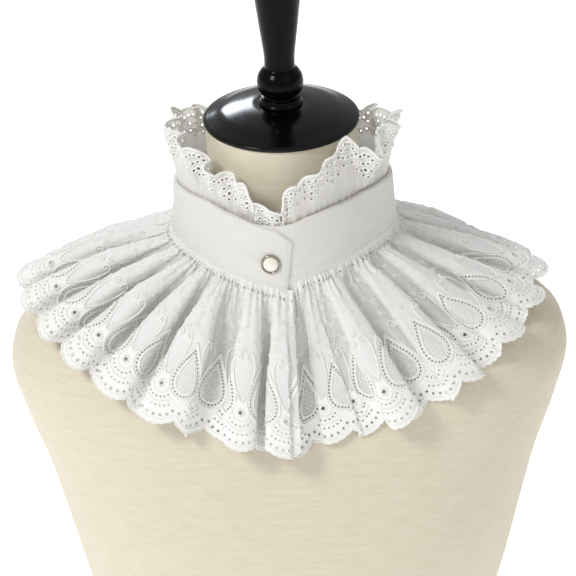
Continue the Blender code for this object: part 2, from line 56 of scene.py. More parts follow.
TORSO_FIELDS = ("z", "half_width", "front", "back", "power")
NECK_TOP_Z = 512.4
TORSO_SECTIONS = (
    (0.0, 119.0, 88.0, 84.0, 2.2),
    (50.0, 117.0, 87.0, 83.0, 2.2),
    (110.0, 121.0, 92.0, 85.0, 2.2),
    (170.0, 132.0, 104.0, 91.0, 2.25),
    (210.0, 141.0, 111.0, 96.0, 2.3),
    (250.0, 149.0, 114.0, 101.0, 2.35),
    (290.0, 158.0, 109.0, 103.0, 2.4),
    (330.0, 171.0, 99.0, 101.0, 2.4),
    (356.0, 177.0, 91.0, 97.0, 2.35),
    (370.0, 174.0, 85.5, 93.0, 2.25),
    (380.0, 166.0, 81.0, 89.0, 2.15),
    (390.0, 149.0, 76.0, 84.5, 2.05),
    (400.0, 127.0, 71.0, 79.0, 2.0),
    (410.0, 104.0, 66.0, 73.0, 1.98),
    (419.0, 82.0, 61.0, 66.0, 1.98),
    (428.0, 62.0, 55.5, 58.0, 2.0),
    (437.0, 53.5, 51.0, 52.0, 2.0),
    (448.0, 49.5, 48.8, 49.0, 2.0),
    (470.0, 47.8, 47.8, 47.8, 2.0),
    (NECK_TOP_Z, 46.2, 46.2, 46.2, 2.0),
)


def column(fields, rows, name):
    """One named column of a table."""
    return np.array([row[fields.index(name)] for row in rows], dtype=float)


def smooth_through(x, xs, ys):
    """Values at x of a smooth curve through the points, with no overshoot between them."""
    xs = np.asarray(xs, dtype=float)
    ys = np.asarray(ys, dtype=float)
    step = np.diff(xs)
    slope = np.diff(ys) / step
    both = slope[:-1] * slope[1:]
    total = np.where(both > 0, slope[:-1] + slope[1:], 1.0)
    tangent = np.concatenate((slope[:1], np.where(both > 0, 2.0 * both / total, 0.0), slope[-1:]))
    x = np.clip(np.asarray(x, dtype=float), xs[0], xs[-1])
    i = np.clip(np.searchsorted(xs, x) - 1, 0, len(xs) - 2)
    t = (x - xs[i]) / step[i]
    return (
        (1 + 2 * t) * (1 - t) ** 2 * ys[i]
        + t * (1 - t) ** 2 * step[i] * tangent[i]
        + t * t * (3 - 2 * t) * ys[i + 1]
        + t * t * (t - 1) * step[i] * tangent[i + 1]
    )


def ease(t):
    """Slow start and slow end between 0 and 1."""
    t = np.clip(t, 0.0, 1.0)
    return t * t * (3.0 - 2.0 * t)


def at_turn(radius, turn, z):
    """Points at a radius and turn round the neck axis."""
    radius, turn, z = np.broadcast_arrays(radius, np.radians(turn), z)
    return np.stack((-radius * np.sin(turn), -radius * np.cos(turn), z), axis=-1)


TORSO_Z = column(TORSO_FIELDS, TORSO_SECTIONS, "z")


def torso_radius(z, turn):
    """Distance from the neck axis to the form's surface at a height and turn."""
    shape = [smooth_through(z, TORSO_Z, column(TORSO_FIELDS, TORSO_SECTIONS, n)) for n in TORSO_FIELDS[1:]]
    wide, front, back, power = shape
    sine = np.abs(np.sin(np.radians(turn))) / wide
    cosine = np.cos(np.radians(turn))
    along = np.abs(cosine) / np.where(cosine > 0, front, back)
    return (sine ** power + along ** power) ** (-1.0 / power)


def linear(code):
    """A hex colour as it is seen, turned to the light values that a shader takes."""
    parts = [int(code[i:i + 2], 16) / 255 for i in (1, 3, 5)]
    return (*(c / 12.92 if c <= 0.04045 else ((c + 0.055) / 1.055) ** 2.4 for c in parts), 1.0)


def feed(tree, node, wires):
    """Gives each input of a node its value, or the socket that feeds it."""
    for socket, source in wires.items():
        if isinstance(source, bpy.types.NodeSocket):
            tree.links.new(source, node.inputs[socket])
        else:
            node.inputs[socket].default_value = source


def add(tree, kind, wires=None, **settings):
    """One node with its settings and its inputs."""
    node = tree.nodes.new(kind)
    for key, value in settings.items():
        setattr(node, key, value)
    feed(tree, node, wires or {})
    return node


def new_finish(name):
    """A new material, its node tree and its shader."""
    material = bpy.data.materials.new(name)
    material.use_nodes = True
    return material, material.node_tree, material.node_tree.nodes["Principled BSDF"]


def shade(tree, factor, dark, light):
    """A colour between two hex colours."""
    wires = {0: factor, 6: linear(dark), 7: linear(light)}
    return add(tree, "ShaderNodeMix", wires, data_type="RGBA").outputs[2]


def relief_normal(tree, height, strength, depth):
    """The normal of a face with fine relief, its depth in metres."""
    wires = {"Height": height, "Strength": strength, "Distance": depth}
    return add(tree, "ShaderNodeBump", wires).outputs[0]


# A wave texture of scale 1 turns through this many radians in each unit of its map
WAVE_RADIANS = 20.0
THREAD_WANDER = 0.6
THREAD_DEPTH = 0.0004
SLUBS_PER_METRE = (60.0, 420.0, 1.0)


def woven(name, light, dark, thread, rough, relief, alpha=1.0):
    """Plain woven cloth: crossing threads a number of millimetres apart, with uneven slubs.

    The map is in metres along the cloth, so a thread is as wide as its pitch says. The pitches
    given are about twice the real ones, because finer threads don't show from the camera.
    It gives the eye a matt face with faint streaks, soft edges, and sheerness where alpha is low.
    """
    material, tree, shader = new_finish(name)
    cloth = add(tree, "ShaderNodeTexCoord").outputs["UV"]
    scale = math.tau / (WAVE_RADIANS * thread * MM)
    waves = []
    for axis in ("X", "Y"):
        wires = {"Vector": cloth, "Scale": scale, "Distortion": THREAD_WANDER}
        waves.append(add(tree, "ShaderNodeTexWave", wires, bands_direction=axis).outputs["Fac"])
    weave = add(tree, "ShaderNodeMath", {0: waves[0], 1: waves[1]}, operation="MULTIPLY").outputs[0]
    stretch = add(tree, "ShaderNodeMapping", {"Vector": cloth, "Scale": SLUBS_PER_METRE}).outputs[0]
    wires = {"Vector": stretch, "Scale": 1.0, "Detail": 3.0}
    slubs = add(tree, "ShaderNodeTexNoise", wires).outputs["Fac"]
    height = add(tree, "ShaderNodeMath", {0: weave, 1: slubs}, operation="ADD").outputs[0]
    finish = {
        "Base Color": shade(tree, slubs, dark, light),
        "Normal": relief_normal(tree, height, relief, THREAD_DEPTH),
        "Roughness": rough,
        "Sheen Weight": 0.15,
        "Alpha": alpha,
    }
    feed(tree, shader, finish)
    return material


def cloth_mesh(name, points, faces, materials, flat=None, marks=None):
    """A smooth piece from points in millimetres, with its flat cut as the map."""
    mesh = bpy.data.meshes.new(name)
    mesh.from_pydata((np.asarray(points).reshape(-1, 3) * MM).tolist(), [], faces)
    for material in materials:
        mesh.materials.append(material)
    if marks is not None:
        mesh.polygons.foreach_set("material_index", np.asarray(marks, dtype=np.int32))
    if flat is not None:
        corner = np.empty(len(mesh.loops), dtype=np.int32)
        mesh.loops.foreach_get("vertex_index", corner)
        corner_flat = np.asarray(flat).reshape(-1, 2)[corner] * MM
        layer = mesh.uv_layers.new(name="cloth")
        layer.data.foreach_set("uv", corner_flat.astype(np.float32).ravel())
    mesh.shade_smooth()
    piece = bpy.data.objects.new(name, mesh)
    bpy.context.scene.collection.objects.link(piece)
    return piece


def ring_faces(count, rows, turned=False):
    """Four sided faces between rings of points that close on themselves."""
    faces = []
    for row in range(rows - 1):
        for i in range(count):
            low = row * count
            j = (i + 1) % count
            face = (low + i, low + j, low + count + j, low + count + i)
            faces.append(face[::-1] if turned else face)
    return faces


def capped_rings(count, rows, turned=False):
    """The faces between rings, with one more over each end."""
    first = tuple(range(count))
    last = tuple(range(count * (rows - 1), count * rows))
    return ring_faces(count, rows, turned) + ([first, last[::-1]] if turned else [first[::-1], last])


linen = woven("linen_cover", LINEN_LIGHT, LINEN_DARK, thread=0.9, rough=0.9, relief=0.35)
form_turns = np.arange(TORSO_COLUMNS)[None, :] * 360.0 / TORSO_COLUMNS
form_steps = np.linspace(0.0, len(TORSO_Z) - 1, TORSO_ROWS)
form_heights = smooth_through(form_steps, np.arange(len(TORSO_Z)), TORSO_Z)[:, None]
form_points = at_turn(torso_radius(form_heights, form_turns), form_turns, form_heights)
# The map runs both ways round from the middle of the front, so that it meets itself at the back
form_across = np.radians(np.abs((form_turns + 180.0) % 360.0 - 180.0)) * torso_radius(form_heights, 45.0)
form_flat = np.stack(np.broadcast_arrays(form_across, form_heights), axis=-1)
form_faces = capped_rings(TORSO_COLUMNS, TORSO_ROWS, turned=True)
torso = cloth_mesh("linen_torso", form_points, form_faces, [linen], form_flat)
torso.data.set_sharp_from_angle(angle=math.radians(TORSO_SHARP_ANGLE))
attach(torso, "root")
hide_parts("form_torso")

# Dress form: neck cap and finial
# Turned beech, lacquered black and polished. The cap closes the neck and carries a turned finial
# that is screwed into its middle: a disc, a ball, a thin waist and a stem that widens upward.
CAP_COLUMNS = 128
CAP_ROWS = 60
FINIAL_COLUMNS = 64
FINIAL_ROWS = 140
TURNED_SHARP_ANGLE = 55.0
LACQUER_BLACK = "#030304"
LACQUER_WORN = "#070709"

# Heights and radii of each profile, from its seat up
CAP_PROFILE = (
    (512.7, 30.0),
    (512.7, 46.2),
    (513.0, 47.1),
    (513.8, 47.6),
    (514.4, 47.6),
    (515.1, 47.4),
    (515.8, 46.5),
    (516.7, 44.2),
    (518.4, 39.6),
    (520.3, 34.7),
    (522.1, 27.0),
    (523.3, 20.5),
    (523.75, 16.0),
    (523.8, 10.0),
)
FINIAL_PROFILE = (
    (524.1, 11.0),
    (524.1, 12.9),
    (524.7, 13.4),
    (525.5, 12.6),
    (526.7, 12.0),
    (528.1, 11.9),
    (528.8, 10.2),
    (529.5, 10.0),
    (531.1, 11.9),
    (534.5, 13.8),
    (538.3, 14.2),
    (542.1, 13.5),
    (545.7, 11.4),
    (548.3, 9.3),
    (553.5, 9.2),
    (575.5, 11.8),
    (599.5, 14.6),
    (619.5, 17.0),
    (627.5, 17.3),
    (632.5, 15.0),
    (635.1, 10.0),
    (635.8, 4.0),
    (635.9, 0.6),
)


def clouds(tree, per_metre, detail, distortion=0.0):
    """Soft clouds that are fixed to the piece."""
    place = add(tree, "ShaderNodeTexCoord").outputs["Object"]
    wires = {"Vector": place, "Scale": per_metre, "Detail": detail, "Distortion": distortion}
    return add(tree, "ShaderNodeTexNoise", wires).outputs["Fac"]


def polish(tree, cloud, best, worst):
    """Roughness between two values, as the clouds go."""
    return add(tree, "ShaderNodeMapRange", {0: cloud, 1: 0.3, 2: 0.7, 3: best, 4: worst}).outputs[0]


def lacquered(name, gloss):
    """Polished black lacquer: nearly black, smooth, with the faint waves of a brushed coat.

    The specular level is low, so that the lacquer stays black beside its highlights.
    """
    material, tree, shader = new_finish(name)
    cloud = clouds(tree, 45.0, 4.0)
    finish = {
        "Base Color": shade(tree, cloud, LACQUER_BLACK, LACQUER_WORN),
        "Roughness": polish(tree, cloud, 0.12, 0.22),
        "Normal": relief_normal(tree, cloud, 0.06, 0.001),
        "Specular IOR Level": gloss,
    }
    feed(tree, shader, finish)
    return material


def turned(name, profile, columns, rows, material):
    """A piece turned on the neck axis, from heights and radii, closed at both ends."""
    profile = np.array(profile)
    key = np.arange(len(profile))
    steps = np.linspace(0.0, len(profile) - 1, rows)
    heights, radii = (smooth_through(steps, key, profile[:, k])[:, None] for k in (0, 1))
    points = at_turn(radii, np.arange(columns)[None, :] * 360.0 / columns, heights)
    piece = cloth_mesh(name, points, capped_rings(columns, rows, turned=True), [material])
    piece.data.set_sharp_from_angle(angle=math.radians(TURNED_SHARP_ANGLE))
    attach(piece, "root")
    return piece


polished_lacquer = lacquered("black_lacquer_polished", gloss=0.26)
cap = turned("lacquered_cap", CAP_PROFILE, CAP_COLUMNS, CAP_ROWS, polished_lacquer)
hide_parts("neck_cap")
# Painted shade: the finial gets a copy of the same lacquer with a lower specular level, so that its
# reflections look darker
reflection_dimmed_lacquer = lacquered("black_lacquer_reflection_dimmed", gloss=0.1)
finial = turned("lacquered_finial", FINIAL_PROFILE, FINIAL_COLUMNS, FINIAL_ROWS, reflection_dimmed_lacquer)
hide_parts("finial")

# Neck band
# A plain stand band of two layers of white cotton sateen over a firm lining, cut slightly curved
# and turned right side out. The flounce is caught in its lower seam, which shows as a narrow welt.
# Its end on the image's left lies on top at the front and has a cut corner.
BAND_WALL = 2.0
BAND_LINING = 0.9
BAND_CREASE_SCALE = 1.6
BAND_UNDER_END_TURN = 16.0
BAND_OVER_END_TURN = -2.8
BAND_END_CUT_TURN = 8.0
BAND_END_SLANT_TURN = 3.4
BAND_END_TOP_CUT = 6.0
BAND_END_TIP_DROP = 3.0
BAND_LAP_STEP = 2.6
BAND_LAP_START_TURN = 20.0
BAND_LAP_EASE_TURN = 40.0
BAND_COLUMNS = 460
BAND_FACE_ROWS = 34
BAND_EDGE_ROWS = 4
BAND_EDGE_ROUND = 0.9
BAND_END_ROUND = 1.0
BAND_MEAN_RADIUS = 66.0
WELT_HEIGHT = 2.8
WELT_RISE = 0.45
WELT_GROOVE = 0.28
WELT_GROOVE_WIDTH = 0.5
SEAM_PUCKER = 0.16
SEAM_PUCKER_FADE = 4.0
# Millimetres of the band's map in a degree of turn and in a row of its section
BAND_MAP_DEGREE = 1.15
BAND_MAP_ROW = 0.9
COTTON_LIGHT = "#E3E2DE"
COTTON_DARK = "#D9D7D0"
BAND_FIELDS = ("turn", "top", "bottom", "top_z", "height")
BAND_PLAN = (
    (0.0, 66.0, 69.5, 470.0, 36.5),
    (14.0, 63.5, 68.0, 473.0, 36.5),
    (30.0, 61.0, 66.0, 476.0, 36.5),
    (50.0, 60.5, 65.0, 477.5, 36.5),
    (70.0, 64.5, 67.5, 477.0, 34.5),
    (90.0, 68.0, 70.0, 474.5, 33.5),
    (135.0, 66.5, 69.5, 471.0, 33.0),
    (180.0, 64.0, 68.0, 470.0, 33.0),
    (225.0, 66.5, 69.5, 471.0, 33.0),
    (270.0, 67.2, 69.5, 475.5, 33.0),
    (290.0, 63.8, 67.0, 478.5, 33.5),
    (310.0, 60.2, 64.7, 479.5, 34.5),
    (330.0, 61.0, 66.0, 479.0, 35.5),
    (346.0, 63.5, 68.0, 477.0, 36.0),
    (360.0, 66.0, 69.5, 473.5, 35.5),
    (380.0, 62.6, 67.4, 472.0, 34.5),
)

# Soft creases of the worn band: turn and part of the height at the middle,
# half length in degrees, slope in parts of the height over that length, width and depth
BAND_CREASES = (
    (14.0, 0.62, 15.0, -0.16, 0.055, 0.45),
    (20.0, 0.80, 18.0, -0.10, 0.045, -0.30),
    (38.0, 0.45, 16.0, 0.12, 0.070, 0.35),
    (60.0, 0.70, 14.0, -0.10, 0.060, 0.30),
    (84.0, 0.35, 16.0, 0.15, 0.080, -0.35),
    (118.0, 0.60, 20.0, -0.12, 0.070, 0.35),
    (160.0, 0.40, 22.0, 0.10, 0.080, 0.30),
    (205.0, 0.65, 22.0, -0.08, 0.070, 0.35),
    (246.0, 0.42, 18.0, 0.14, 0.080, -0.30),
    (282.0, 0.60, 16.0, -0.12, 0.070, 0.30),
    (306.0, 0.72, 14.0, 0.10, 0.055, -0.30),
    (326.0, 0.50, 15.0, 0.14, 0.060, 0.40),
    (343.0, 0.70, 12.0, 0.12, 0.050, -0.35),
)


def band_plan(turn, name):
    """One column of the band's table at a turn; the upper end runs a little past the front."""
    turns = column(BAND_FIELDS, BAND_PLAN, "turn")
    return smooth_through(np.abs(turn), turns, column(BAND_FIELDS, BAND_PLAN, name))


def band_radius(turn, part):
    """Radius of the band's outer face, part 0 at its top edge and 1 at its bottom edge."""
    return band_plan(turn, "top") * (1.0 - part) + band_plan(turn, "bottom") * part


def lap_lift(turn):
    """The upper end of the band lies outside the under end by one lap step."""
    return BAND_LAP_STEP * (1.0 - ease((turn - BAND_LAP_START_TURN) / BAND_LAP_EASE_TURN))


def near_upper_end(turn):
    """1 at the band's upper end, and 0 from where its edges run straight."""
    return np.maximum(0.0, 1.0 - (turn - BAND_OVER_END_TURN) / BAND_END_CUT_TURN)


def band_edges(turn):
    """Heights of the band's top and bottom edge; its upper end has a cut corner and a drooping tip."""
    near = near_upper_end(turn)
    top = band_plan(turn, "top_z")
    bottom = top - band_plan(turn, "height")
    return top - BAND_END_TOP_CUT * near ** 1.6, bottom - BAND_END_TIP_DROP * near ** 1.4


def band_creases(turn, part):
    """How far the listed creases push the band's face out."""
    push = np.zeros(np.broadcast(turn, part).shape)
    for middle, at, reach, slope, width, depth in BAND_CREASES:
        way = (turn - middle) / reach
        off = (part - at - slope * way) / width
        push += BAND_CREASE_SCALE * depth * np.exp(-way * way - off * off)
    return push


def rounded_section(height, wall, edge, steps_up, steps_round):
    """Loop round an upright strip: distance down from its top edge and depth behind its face."""
    down = np.linspace(edge, height - edge, steps_up)
    quarter = 90.0 * np.arange(1, steps_round) / steps_round

    def bends(*middles):
        return [
            (s + edge * math.cos(a), t + edge * math.sin(a))
            for s, t, start in middles
            for a in np.radians(start - quarter)
        ]

    loop = [(s, 0.0) for s in down]
    loop += bends((height - edge, -edge, 90.0), (height - edge, edge - wall, 0.0))
    loop += [(s, -wall) for s in down[::-3]]
    loop += bends((edge, edge - wall, -90.0), (edge, -edge, 180.0))
    return np.array(loop)


def uneven_wave(x, rate, *wanders):
    """A wave with uneven crests: its phase also wanders by each size, at each slower rate."""
    phase = x * rate
    for size, slow in wanders:
        phase = phase + size * np.sin(x * slow)
    return np.sin(phase)


# Each end narrows to a rounded edge: parts of the way into the rounding, and the width left there
band_turns = np.linspace(BAND_OVER_END_TURN, 360.0 + BAND_UNDER_END_TURN, BAND_COLUMNS)
closing = np.array((0.0, 0.35, 0.65, 0.88, 0.98))
narrowing = np.sqrt(1.0 - closing ** 2)
end_turns = np.degrees(BAND_END_ROUND * closing / BAND_MEAN_RADIUS)
band_shape = list(zip(band_turns[0] - end_turns[:0:-1], narrowing[:0:-1]))
band_shape += [(turn, 1.0) for turn in band_turns]
band_shape += list(zip(band_turns[-1] + end_turns[1:], narrowing[1:]))
band_points = []
band_flat = []
for turn, full in band_shape:
    top, bottom = band_edges(turn)
    height = float(top - bottom)
    loop = rounded_section(
        height, BAND_WALL + BAND_LINING, BAND_EDGE_ROUND, BAND_FACE_ROWS, BAND_EDGE_ROWS
    )
    part = loop[:, 0] / height
    into_welt = loop[:, 0] - height + WELT_HEIGHT
    swell = WELT_RISE * np.sin(np.pi * np.clip(into_welt / WELT_HEIGHT, 0.0, 1.0)) ** 0.6
    swell -= WELT_GROOVE * np.exp(-((into_welt / WELT_GROOVE_WIDTH) ** 2))
    pucker = uneven_wave(turn, 1.9, (1.3, 0.31)) * np.exp(-(height - loop[:, 0]) / SEAM_PUCKER_FADE)
    depth = (loop[:, 1] + BAND_WALL / 2) * full - BAND_WALL / 2
    outer = depth > -BAND_WALL / 2
    depth = depth + np.where(outer, swell, 0.0) * full + SEAM_PUCKER * pucker + band_creases(turn, part)
    radius = band_radius(turn, part) + lap_lift(turn) + depth
    slant = BAND_END_SLANT_TURN * near_upper_end(turn)
    band_points.append(at_turn(radius, turn + slant * part, top - loop[:, 0]))
    rows = np.arange(1, len(loop) + 1) * BAND_MAP_ROW
    band_flat.append(np.stack((np.full(len(loop), turn * BAND_MAP_DEGREE), rows), axis=-1))
band_points = np.array(band_points)
band_faces = capped_rings(band_points.shape[1], len(band_shape))
sateen = woven("cotton_sateen", COTTON_LIGHT, COTTON_DARK, thread=0.7, rough=0.75, relief=0.18)
band = cloth_mesh("sateen_neck_band", band_points, band_faces, [sateen], np.array(band_flat))
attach(band, "root")
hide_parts("neck_band")

# Neck frill
# A strip of white cotton with a machine embroidered eyelet border, scalloped along one edge and
# gathered along the other, which is sewn inside the band's top seam so that it stands up.
FRILL_STEPS = 6880
FRILL_WIDTH = 49.0
FRILL_TUCK = 9.0
FRILL_BORDER = 16.0
FRILL_PLAIN_LEAST = 2.0
FRILL_FLARE = 2.5
FRILL_INSET = 3.4
FRILL_SCALLOPS = 29
FRILL_NOTCH = 3.8
FRILL_MESH = 1.45
FRILL_GATHER = 0.55
FRILL_GATHER_FROM = 8.0
FRILL_GATHER_WIDTH = 30.0
FRILL_CURL = 1.5
FRILL_CURL_WIDTH = 18.0
FRILL_RIPPLE = 0.8
FRILL_RIPPLE_WIDTH = 34.0
FRILL_ROW_EYELET = 1.3
FRILL_SMALL_EYELET = 1.15
FRILL_LIGHT = "#F1F0EC"
FRILL_DARK = "#E6E4DE"
THREAD_LIGHT = "#FCFCFA"
THREAD_DARK = "#EDECE8"

# Millimetres between the points of a hung cloth, along its length and down its width
ALONG_STEP = 0.5
DOWN_STEP = 1.0
# Sharpness of the small stitched waves on a scalloped edge
WAVE_SHARP = 0.8
# Spacing of the cut's points on the scalloped edge, and how near to a border its lines come
EDGE_STEP = 0.75
BORDER_CLEAR = 0.3
# How far a rim lies over its cloth, and its radius as a part of the hole's
RIM_LIFT = 0.12
RIM_PART = 1.12

# The flower of eyelets in each lobe: distance left of its middle, distance from the tips, radius
FRILL_FLOWER = (
    (0.0, 13.4, 1.5),
    (0.0, 8.6, FRILL_SMALL_EYELET),
    (0.0, 18.2, FRILL_SMALL_EYELET),
    (4.3, 11.0, FRILL_SMALL_EYELET),
    (4.3, 15.8, FRILL_SMALL_EYELET),
)
FRILL_NOTCH_EYELET_AT = 17.2

# Turn, lean outward and rise over the band's edge at each wave's crest and hollow
FRILL_FIELDS = ("turn", "out", "rise")
FRILL_WAVES = (
    (2.5, 1.0, 14.0),
    (13.0, 2.0, 13.0),
    (21.0, 4.0, 24.0),
    (33.0, -6.0, 23.0),
    (45.0, 5.0, 26.0),
    (55.0, -6.0, 29.0),
    (65.0, 6.0, 35.0),
    (76.0, -4.0, 38.0),
    (87.0, 6.5, 38.0),
    (98.0, -5.0, 40.0),
    (108.0, 5.5, 40.0),
    (118.0, -6.0, 37.0),
    (129.0, 3.5, 33.0),
    (140.0, -6.0, 29.0),
    (150.0, 2.5, 27.0),
    (161.0, -6.5, 26.0),
    (172.0, 2.5, 25.0),
    (183.0, -6.0, 25.0),
    (194.0, 3.0, 25.0),
    (205.0, -6.5, 25.0),
    (215.0, 2.5, 26.0),
    (226.0, -6.5, 28.0),
    (237.0, 4.0, 31.0),
    (248.0, -5.0, 34.0),
    (259.0, 8.0, 36.0),
    (269.0, -3.0, 35.0),
    (279.0, 7.5, 36.0),
    (290.0, -3.0, 36.0),
    (304.0, 12.0, 26.0),
    (316.0, -5.5, 39.0),
    (325.0, -5.0, 33.0),
    (334.0, 2.0, 34.0),
    (345.0, 4.0, 29.0),
    (356.0, 2.5, 28.0),
    (361.5, 1.0, 15.0),
)


def running_length(points, axis):
    """Running length of a grid of points along one of its axes."""
    steps = np.linalg.norm(np.diff(points, axis=axis), axis=-1)
    start = np.zeros_like(np.take(steps, [0], axis=axis))
    return np.concatenate((start, np.cumsum(steps, axis=axis)), axis=axis)


def at_lengths(line, length, at):
    """Points of a flat line at given running lengths."""
    return np.stack((np.interp(at, length, line[:, 0]), np.interp(at, length, line[:, 1])), axis=1)


def grid_normals(grid, outward):
    """Unit normals of a grid of points, and the sign that turned them to the outward side."""
    normal = np.cross(np.gradient(grid, axis=0), np.gradient(grid, axis=1))
    normal /= np.maximum(np.linalg.norm(normal, axis=-1), 1e-9)[..., None]
    side = 1.0 if np.sum(normal * outward) > 0 else -1.0
    return normal * side, side


def hung_cloth(grid, push, outward):
    """A placed cloth, pushed off its grid: points and normals on its flat length and width."""
    points = grid + grid_normals(grid, outward)[0] * push[..., None]
    normals, side = grid_normals(points, outward)
    return {"points": points, "normals": normals, "side": side}


def on_grid(table, i, j, s, t):
    """A grid's values at parts s and t of a step past its row i and column j."""
    s = s[..., None]
    t = t[..., None]
    near = table[i, j] * (1 - t) + table[i, j + 1] * t
    far = table[i + 1, j] * (1 - t) + table[i + 1, j + 1] * t
    return near * (1 - s) + far * s


def lay_on(cloth, flat, lift=0.0):
    """Places and normals on the hung cloth of points given on the flat cut."""
    columns, rows = cloth["points"].shape[:2]
    u = np.clip(flat[:, 0] / ALONG_STEP, 0.0, columns - 1.001)
    w = np.clip(flat[:, 1] / DOWN_STEP, 0.0, rows - 1.001)
    i = u.astype(int)
    j = w.astype(int)
    normal = on_grid(cloth["normals"], i, j, u - i, w - j)
    normal /= np.linalg.norm(normal, axis=1)[:, None]
    return on_grid(cloth["points"], i, j, u - i, w - j) + normal * lift, normal


def laid_faces(cloth, faces):
    """Flat faces turned so that they point outward on the hung cloth."""
    return (faces[:, ::-1] if cloth["side"] < 0 else faces).tolist()


def scallop(x, pitch, notch, sharp, waves, wave):
    """Height of the scalloped edge over the line of its tips, with its small stitched waves."""
    part = np.asarray(x) / pitch
    deep = notch * (1.0 - np.abs(np.sin(math.pi * part)) ** sharp)
    return deep + wave * (1.0 - np.abs(np.sin(math.pi * part * waves)) ** WAVE_SHARP)


def inside_edge(edge, pitch, inset, count):
    """Even points along a line a given distance inside the scalloped edge, over one whole lobe."""
    xs = np.linspace(-0.5 * pitch, 1.5 * pitch, 801)
    rim = np.stack((xs, edge(xs)), axis=1)
    line = []
    for x in np.linspace(0.0, pitch, 161):
        reach = np.abs(rim[:, 0] - x) < inset
        over = rim[reach, 1] + np.sqrt(inset ** 2 - (rim[reach, 0] - x) ** 2)
        line.append((x, float(over.max())))
    line = np.array(line)
    length = running_length(line, 0)
    return at_lengths(line, length, (np.arange(count) + 0.5) / count * length[-1])


def arc(x, w, radius, start, end, count):
    """Points of the flat cloth on a circle round a middle, between two angles in degrees."""
    turns = np.radians(np.linspace(start, end, count))
    return np.stack((x + radius * np.cos(turns), w + radius * np.sin(turns)), axis=1)


def turned_areas(flat, faces):
    """Twice the area of each flat triangle, below zero where its corners run clockwise."""
    first, second, third = (flat[faces[:, k]] for k in range(3))
    one = second - first
    other = third - first
    return one[:, 0] * other[:, 1] - one[:, 1] * other[:, 0]


def cut_cloth(half, width, edge, holes, lines, step):
    """Half a repeat of the flat cloth as points and triangles, with its eyelets cut out.

    The other half is its mirror image, so a hole on either border is cut as a half circle.
    """
    points = []
    links = []

    def chain(path, closed=False):
        first = len(points)
        points.extend((float(x), float(w)) for x, w in path)
        links.extend((first + i, first + i + 1) for i in range(len(path) - 1))
        if closed:
            links.append((len(points) - 1, first))

    def border(x, inward):
        low = float(edge(x))
        path = [(x, low)]
        stops = sorted((w, r) for hx, w, r in holes if abs(hx - x) < 1e-6) + [(width + 1e6, 1e6)]
        for w, r in stops:
            high = min(w - r, width)
            count = max(1, round((high - low) / step))
            path.extend((x, low + (high - low) * k / count) for k in range(1, count + 1))
            if w > width:
                break
            round_hole = np.radians(np.linspace(-90.0, 90.0, 6))[1:-1]
            path.extend((x + inward * r * math.cos(a), w + r * math.sin(a)) for a in round_hole)
            low = w + r
            path.append((x, low))
        return path

    xs = np.linspace(0.0, half, round(half / EDGE_STEP) + 1)
    chain([(x, float(edge(x))) for x in xs])
    chain(border(0.0, 1.0))
    chain(border(half, -1.0))
    chain([(x, width) for x in np.linspace(0.0, half, round(half / step) + 1)])
    for x, w, r in holes:
        if 1e-6 < x < half - 1e-6:
            sides = 10 if r > 0.9 else 8
            ring = (math.tau * k / sides for k in range(sides))
            chain([(x + r * math.cos(a), w + r * math.sin(a)) for a in ring], closed=True)
    for line in lines:
        kept = [p for p in line if BORDER_CLEAR < p[0] < half - BORDER_CLEAR]
        if len(kept) > 1:
            chain(kept)
    fixed = np.array(points)
    hole = np.array(holes)
    row = 0
    w = 0.5 * step
    while w < width - 0.4 * step:
        shift = 0.25 * step if row % 2 else 0.75 * step
        for x in np.arange(shift, half - 0.3 * step, step):
            near = np.min(np.hypot(fixed[:, 0] - x, fixed[:, 1] - w)) > 0.55 * step
            clear = np.min(np.hypot(hole[:, 0] - x, hole[:, 1] - w) - hole[:, 2]) > 0.4 * step
            if near and clear and w > edge(x) + 0.5 * step:
                points.append((float(x), float(w)))
        row += 1
        w += 0.9 * step
    found = geometry.delaunay_2d_cdt([Vector(p) for p in points], links, [], 0, 1e-4, False)
    flat = np.array([tuple(p) for p in found[0]])
    faces = np.array([tuple(f) for f in found[2] if len(f) == 3])
    middle = flat[faces].mean(axis=1)
    keep = middle[:, 1] > edge(middle[:, 0])
    for x, w, r in holes:
        keep &= np.hypot(middle[:, 0] - x, middle[:, 1] - w) > r * 0.9
    area = turned_areas(flat, faces)
    keep &= np.abs(area) > 1e-5
    faces = np.where((area > 0)[:, None], faces, faces[:, ::-1])[keep]
    return flat, faces


def repeated(flat, faces, marks, half, count):
    """The whole strip from its half repeat, mirrored and repeated, with shared border points."""
    points = []
    corners = []
    for k in range(2 * count):
        x = k * half + flat[:, 0] if k % 2 == 0 else (k + 1) * half - flat[:, 0]
        points.append(np.stack((x, flat[:, 1]), axis=1))
        corners.append((faces if k % 2 == 0 else faces[:, ::-1]) + k * len(flat))
    points = np.round(np.concatenate(points), 3)
    whole, place = np.unique(points, axis=0, return_inverse=True)
    corners = place.reshape(-1)[np.concatenate(corners)]
    a, b, c = corners.T
    good = (a != b) & (b != c) & (a != c)
    used, place = np.unique(corners[good], return_inverse=True)
    return whole[used], place.reshape(-1, 3), np.tile(marks, 2 * count)[good]


def mirrored(items, pitch, count):
    """Points of one repeat, given on its left half, copied to both halves of every repeat."""
    made = []
    for x, *rest in items:
        sides = (x,) if x < 1e-6 or abs(x - pitch / 2) < 1e-6 else (x, pitch - x)
        for side in sides:
            made.extend((side + k * pitch, *rest) for k in range(count + (1 if side < 1e-6 else 0)))
    return made


def thread_tree(name, inputs):
    """A tree that grows thread on points, with its named inputs, and what they give."""
    tree = bpy.data.node_groups.new(name, "GeometryNodeTree")
    for label, kind in (("Geometry", "Geometry"), *inputs, ("Thread", "Material")):
        tree.interface.new_socket(label, in_out="INPUT", socket_type="NodeSocket" + kind)
    tree.interface.new_socket("Geometry", in_out="OUTPUT", socket_type="NodeSocketGeometry")
    return tree, add(tree, "NodeGroupInput").outputs


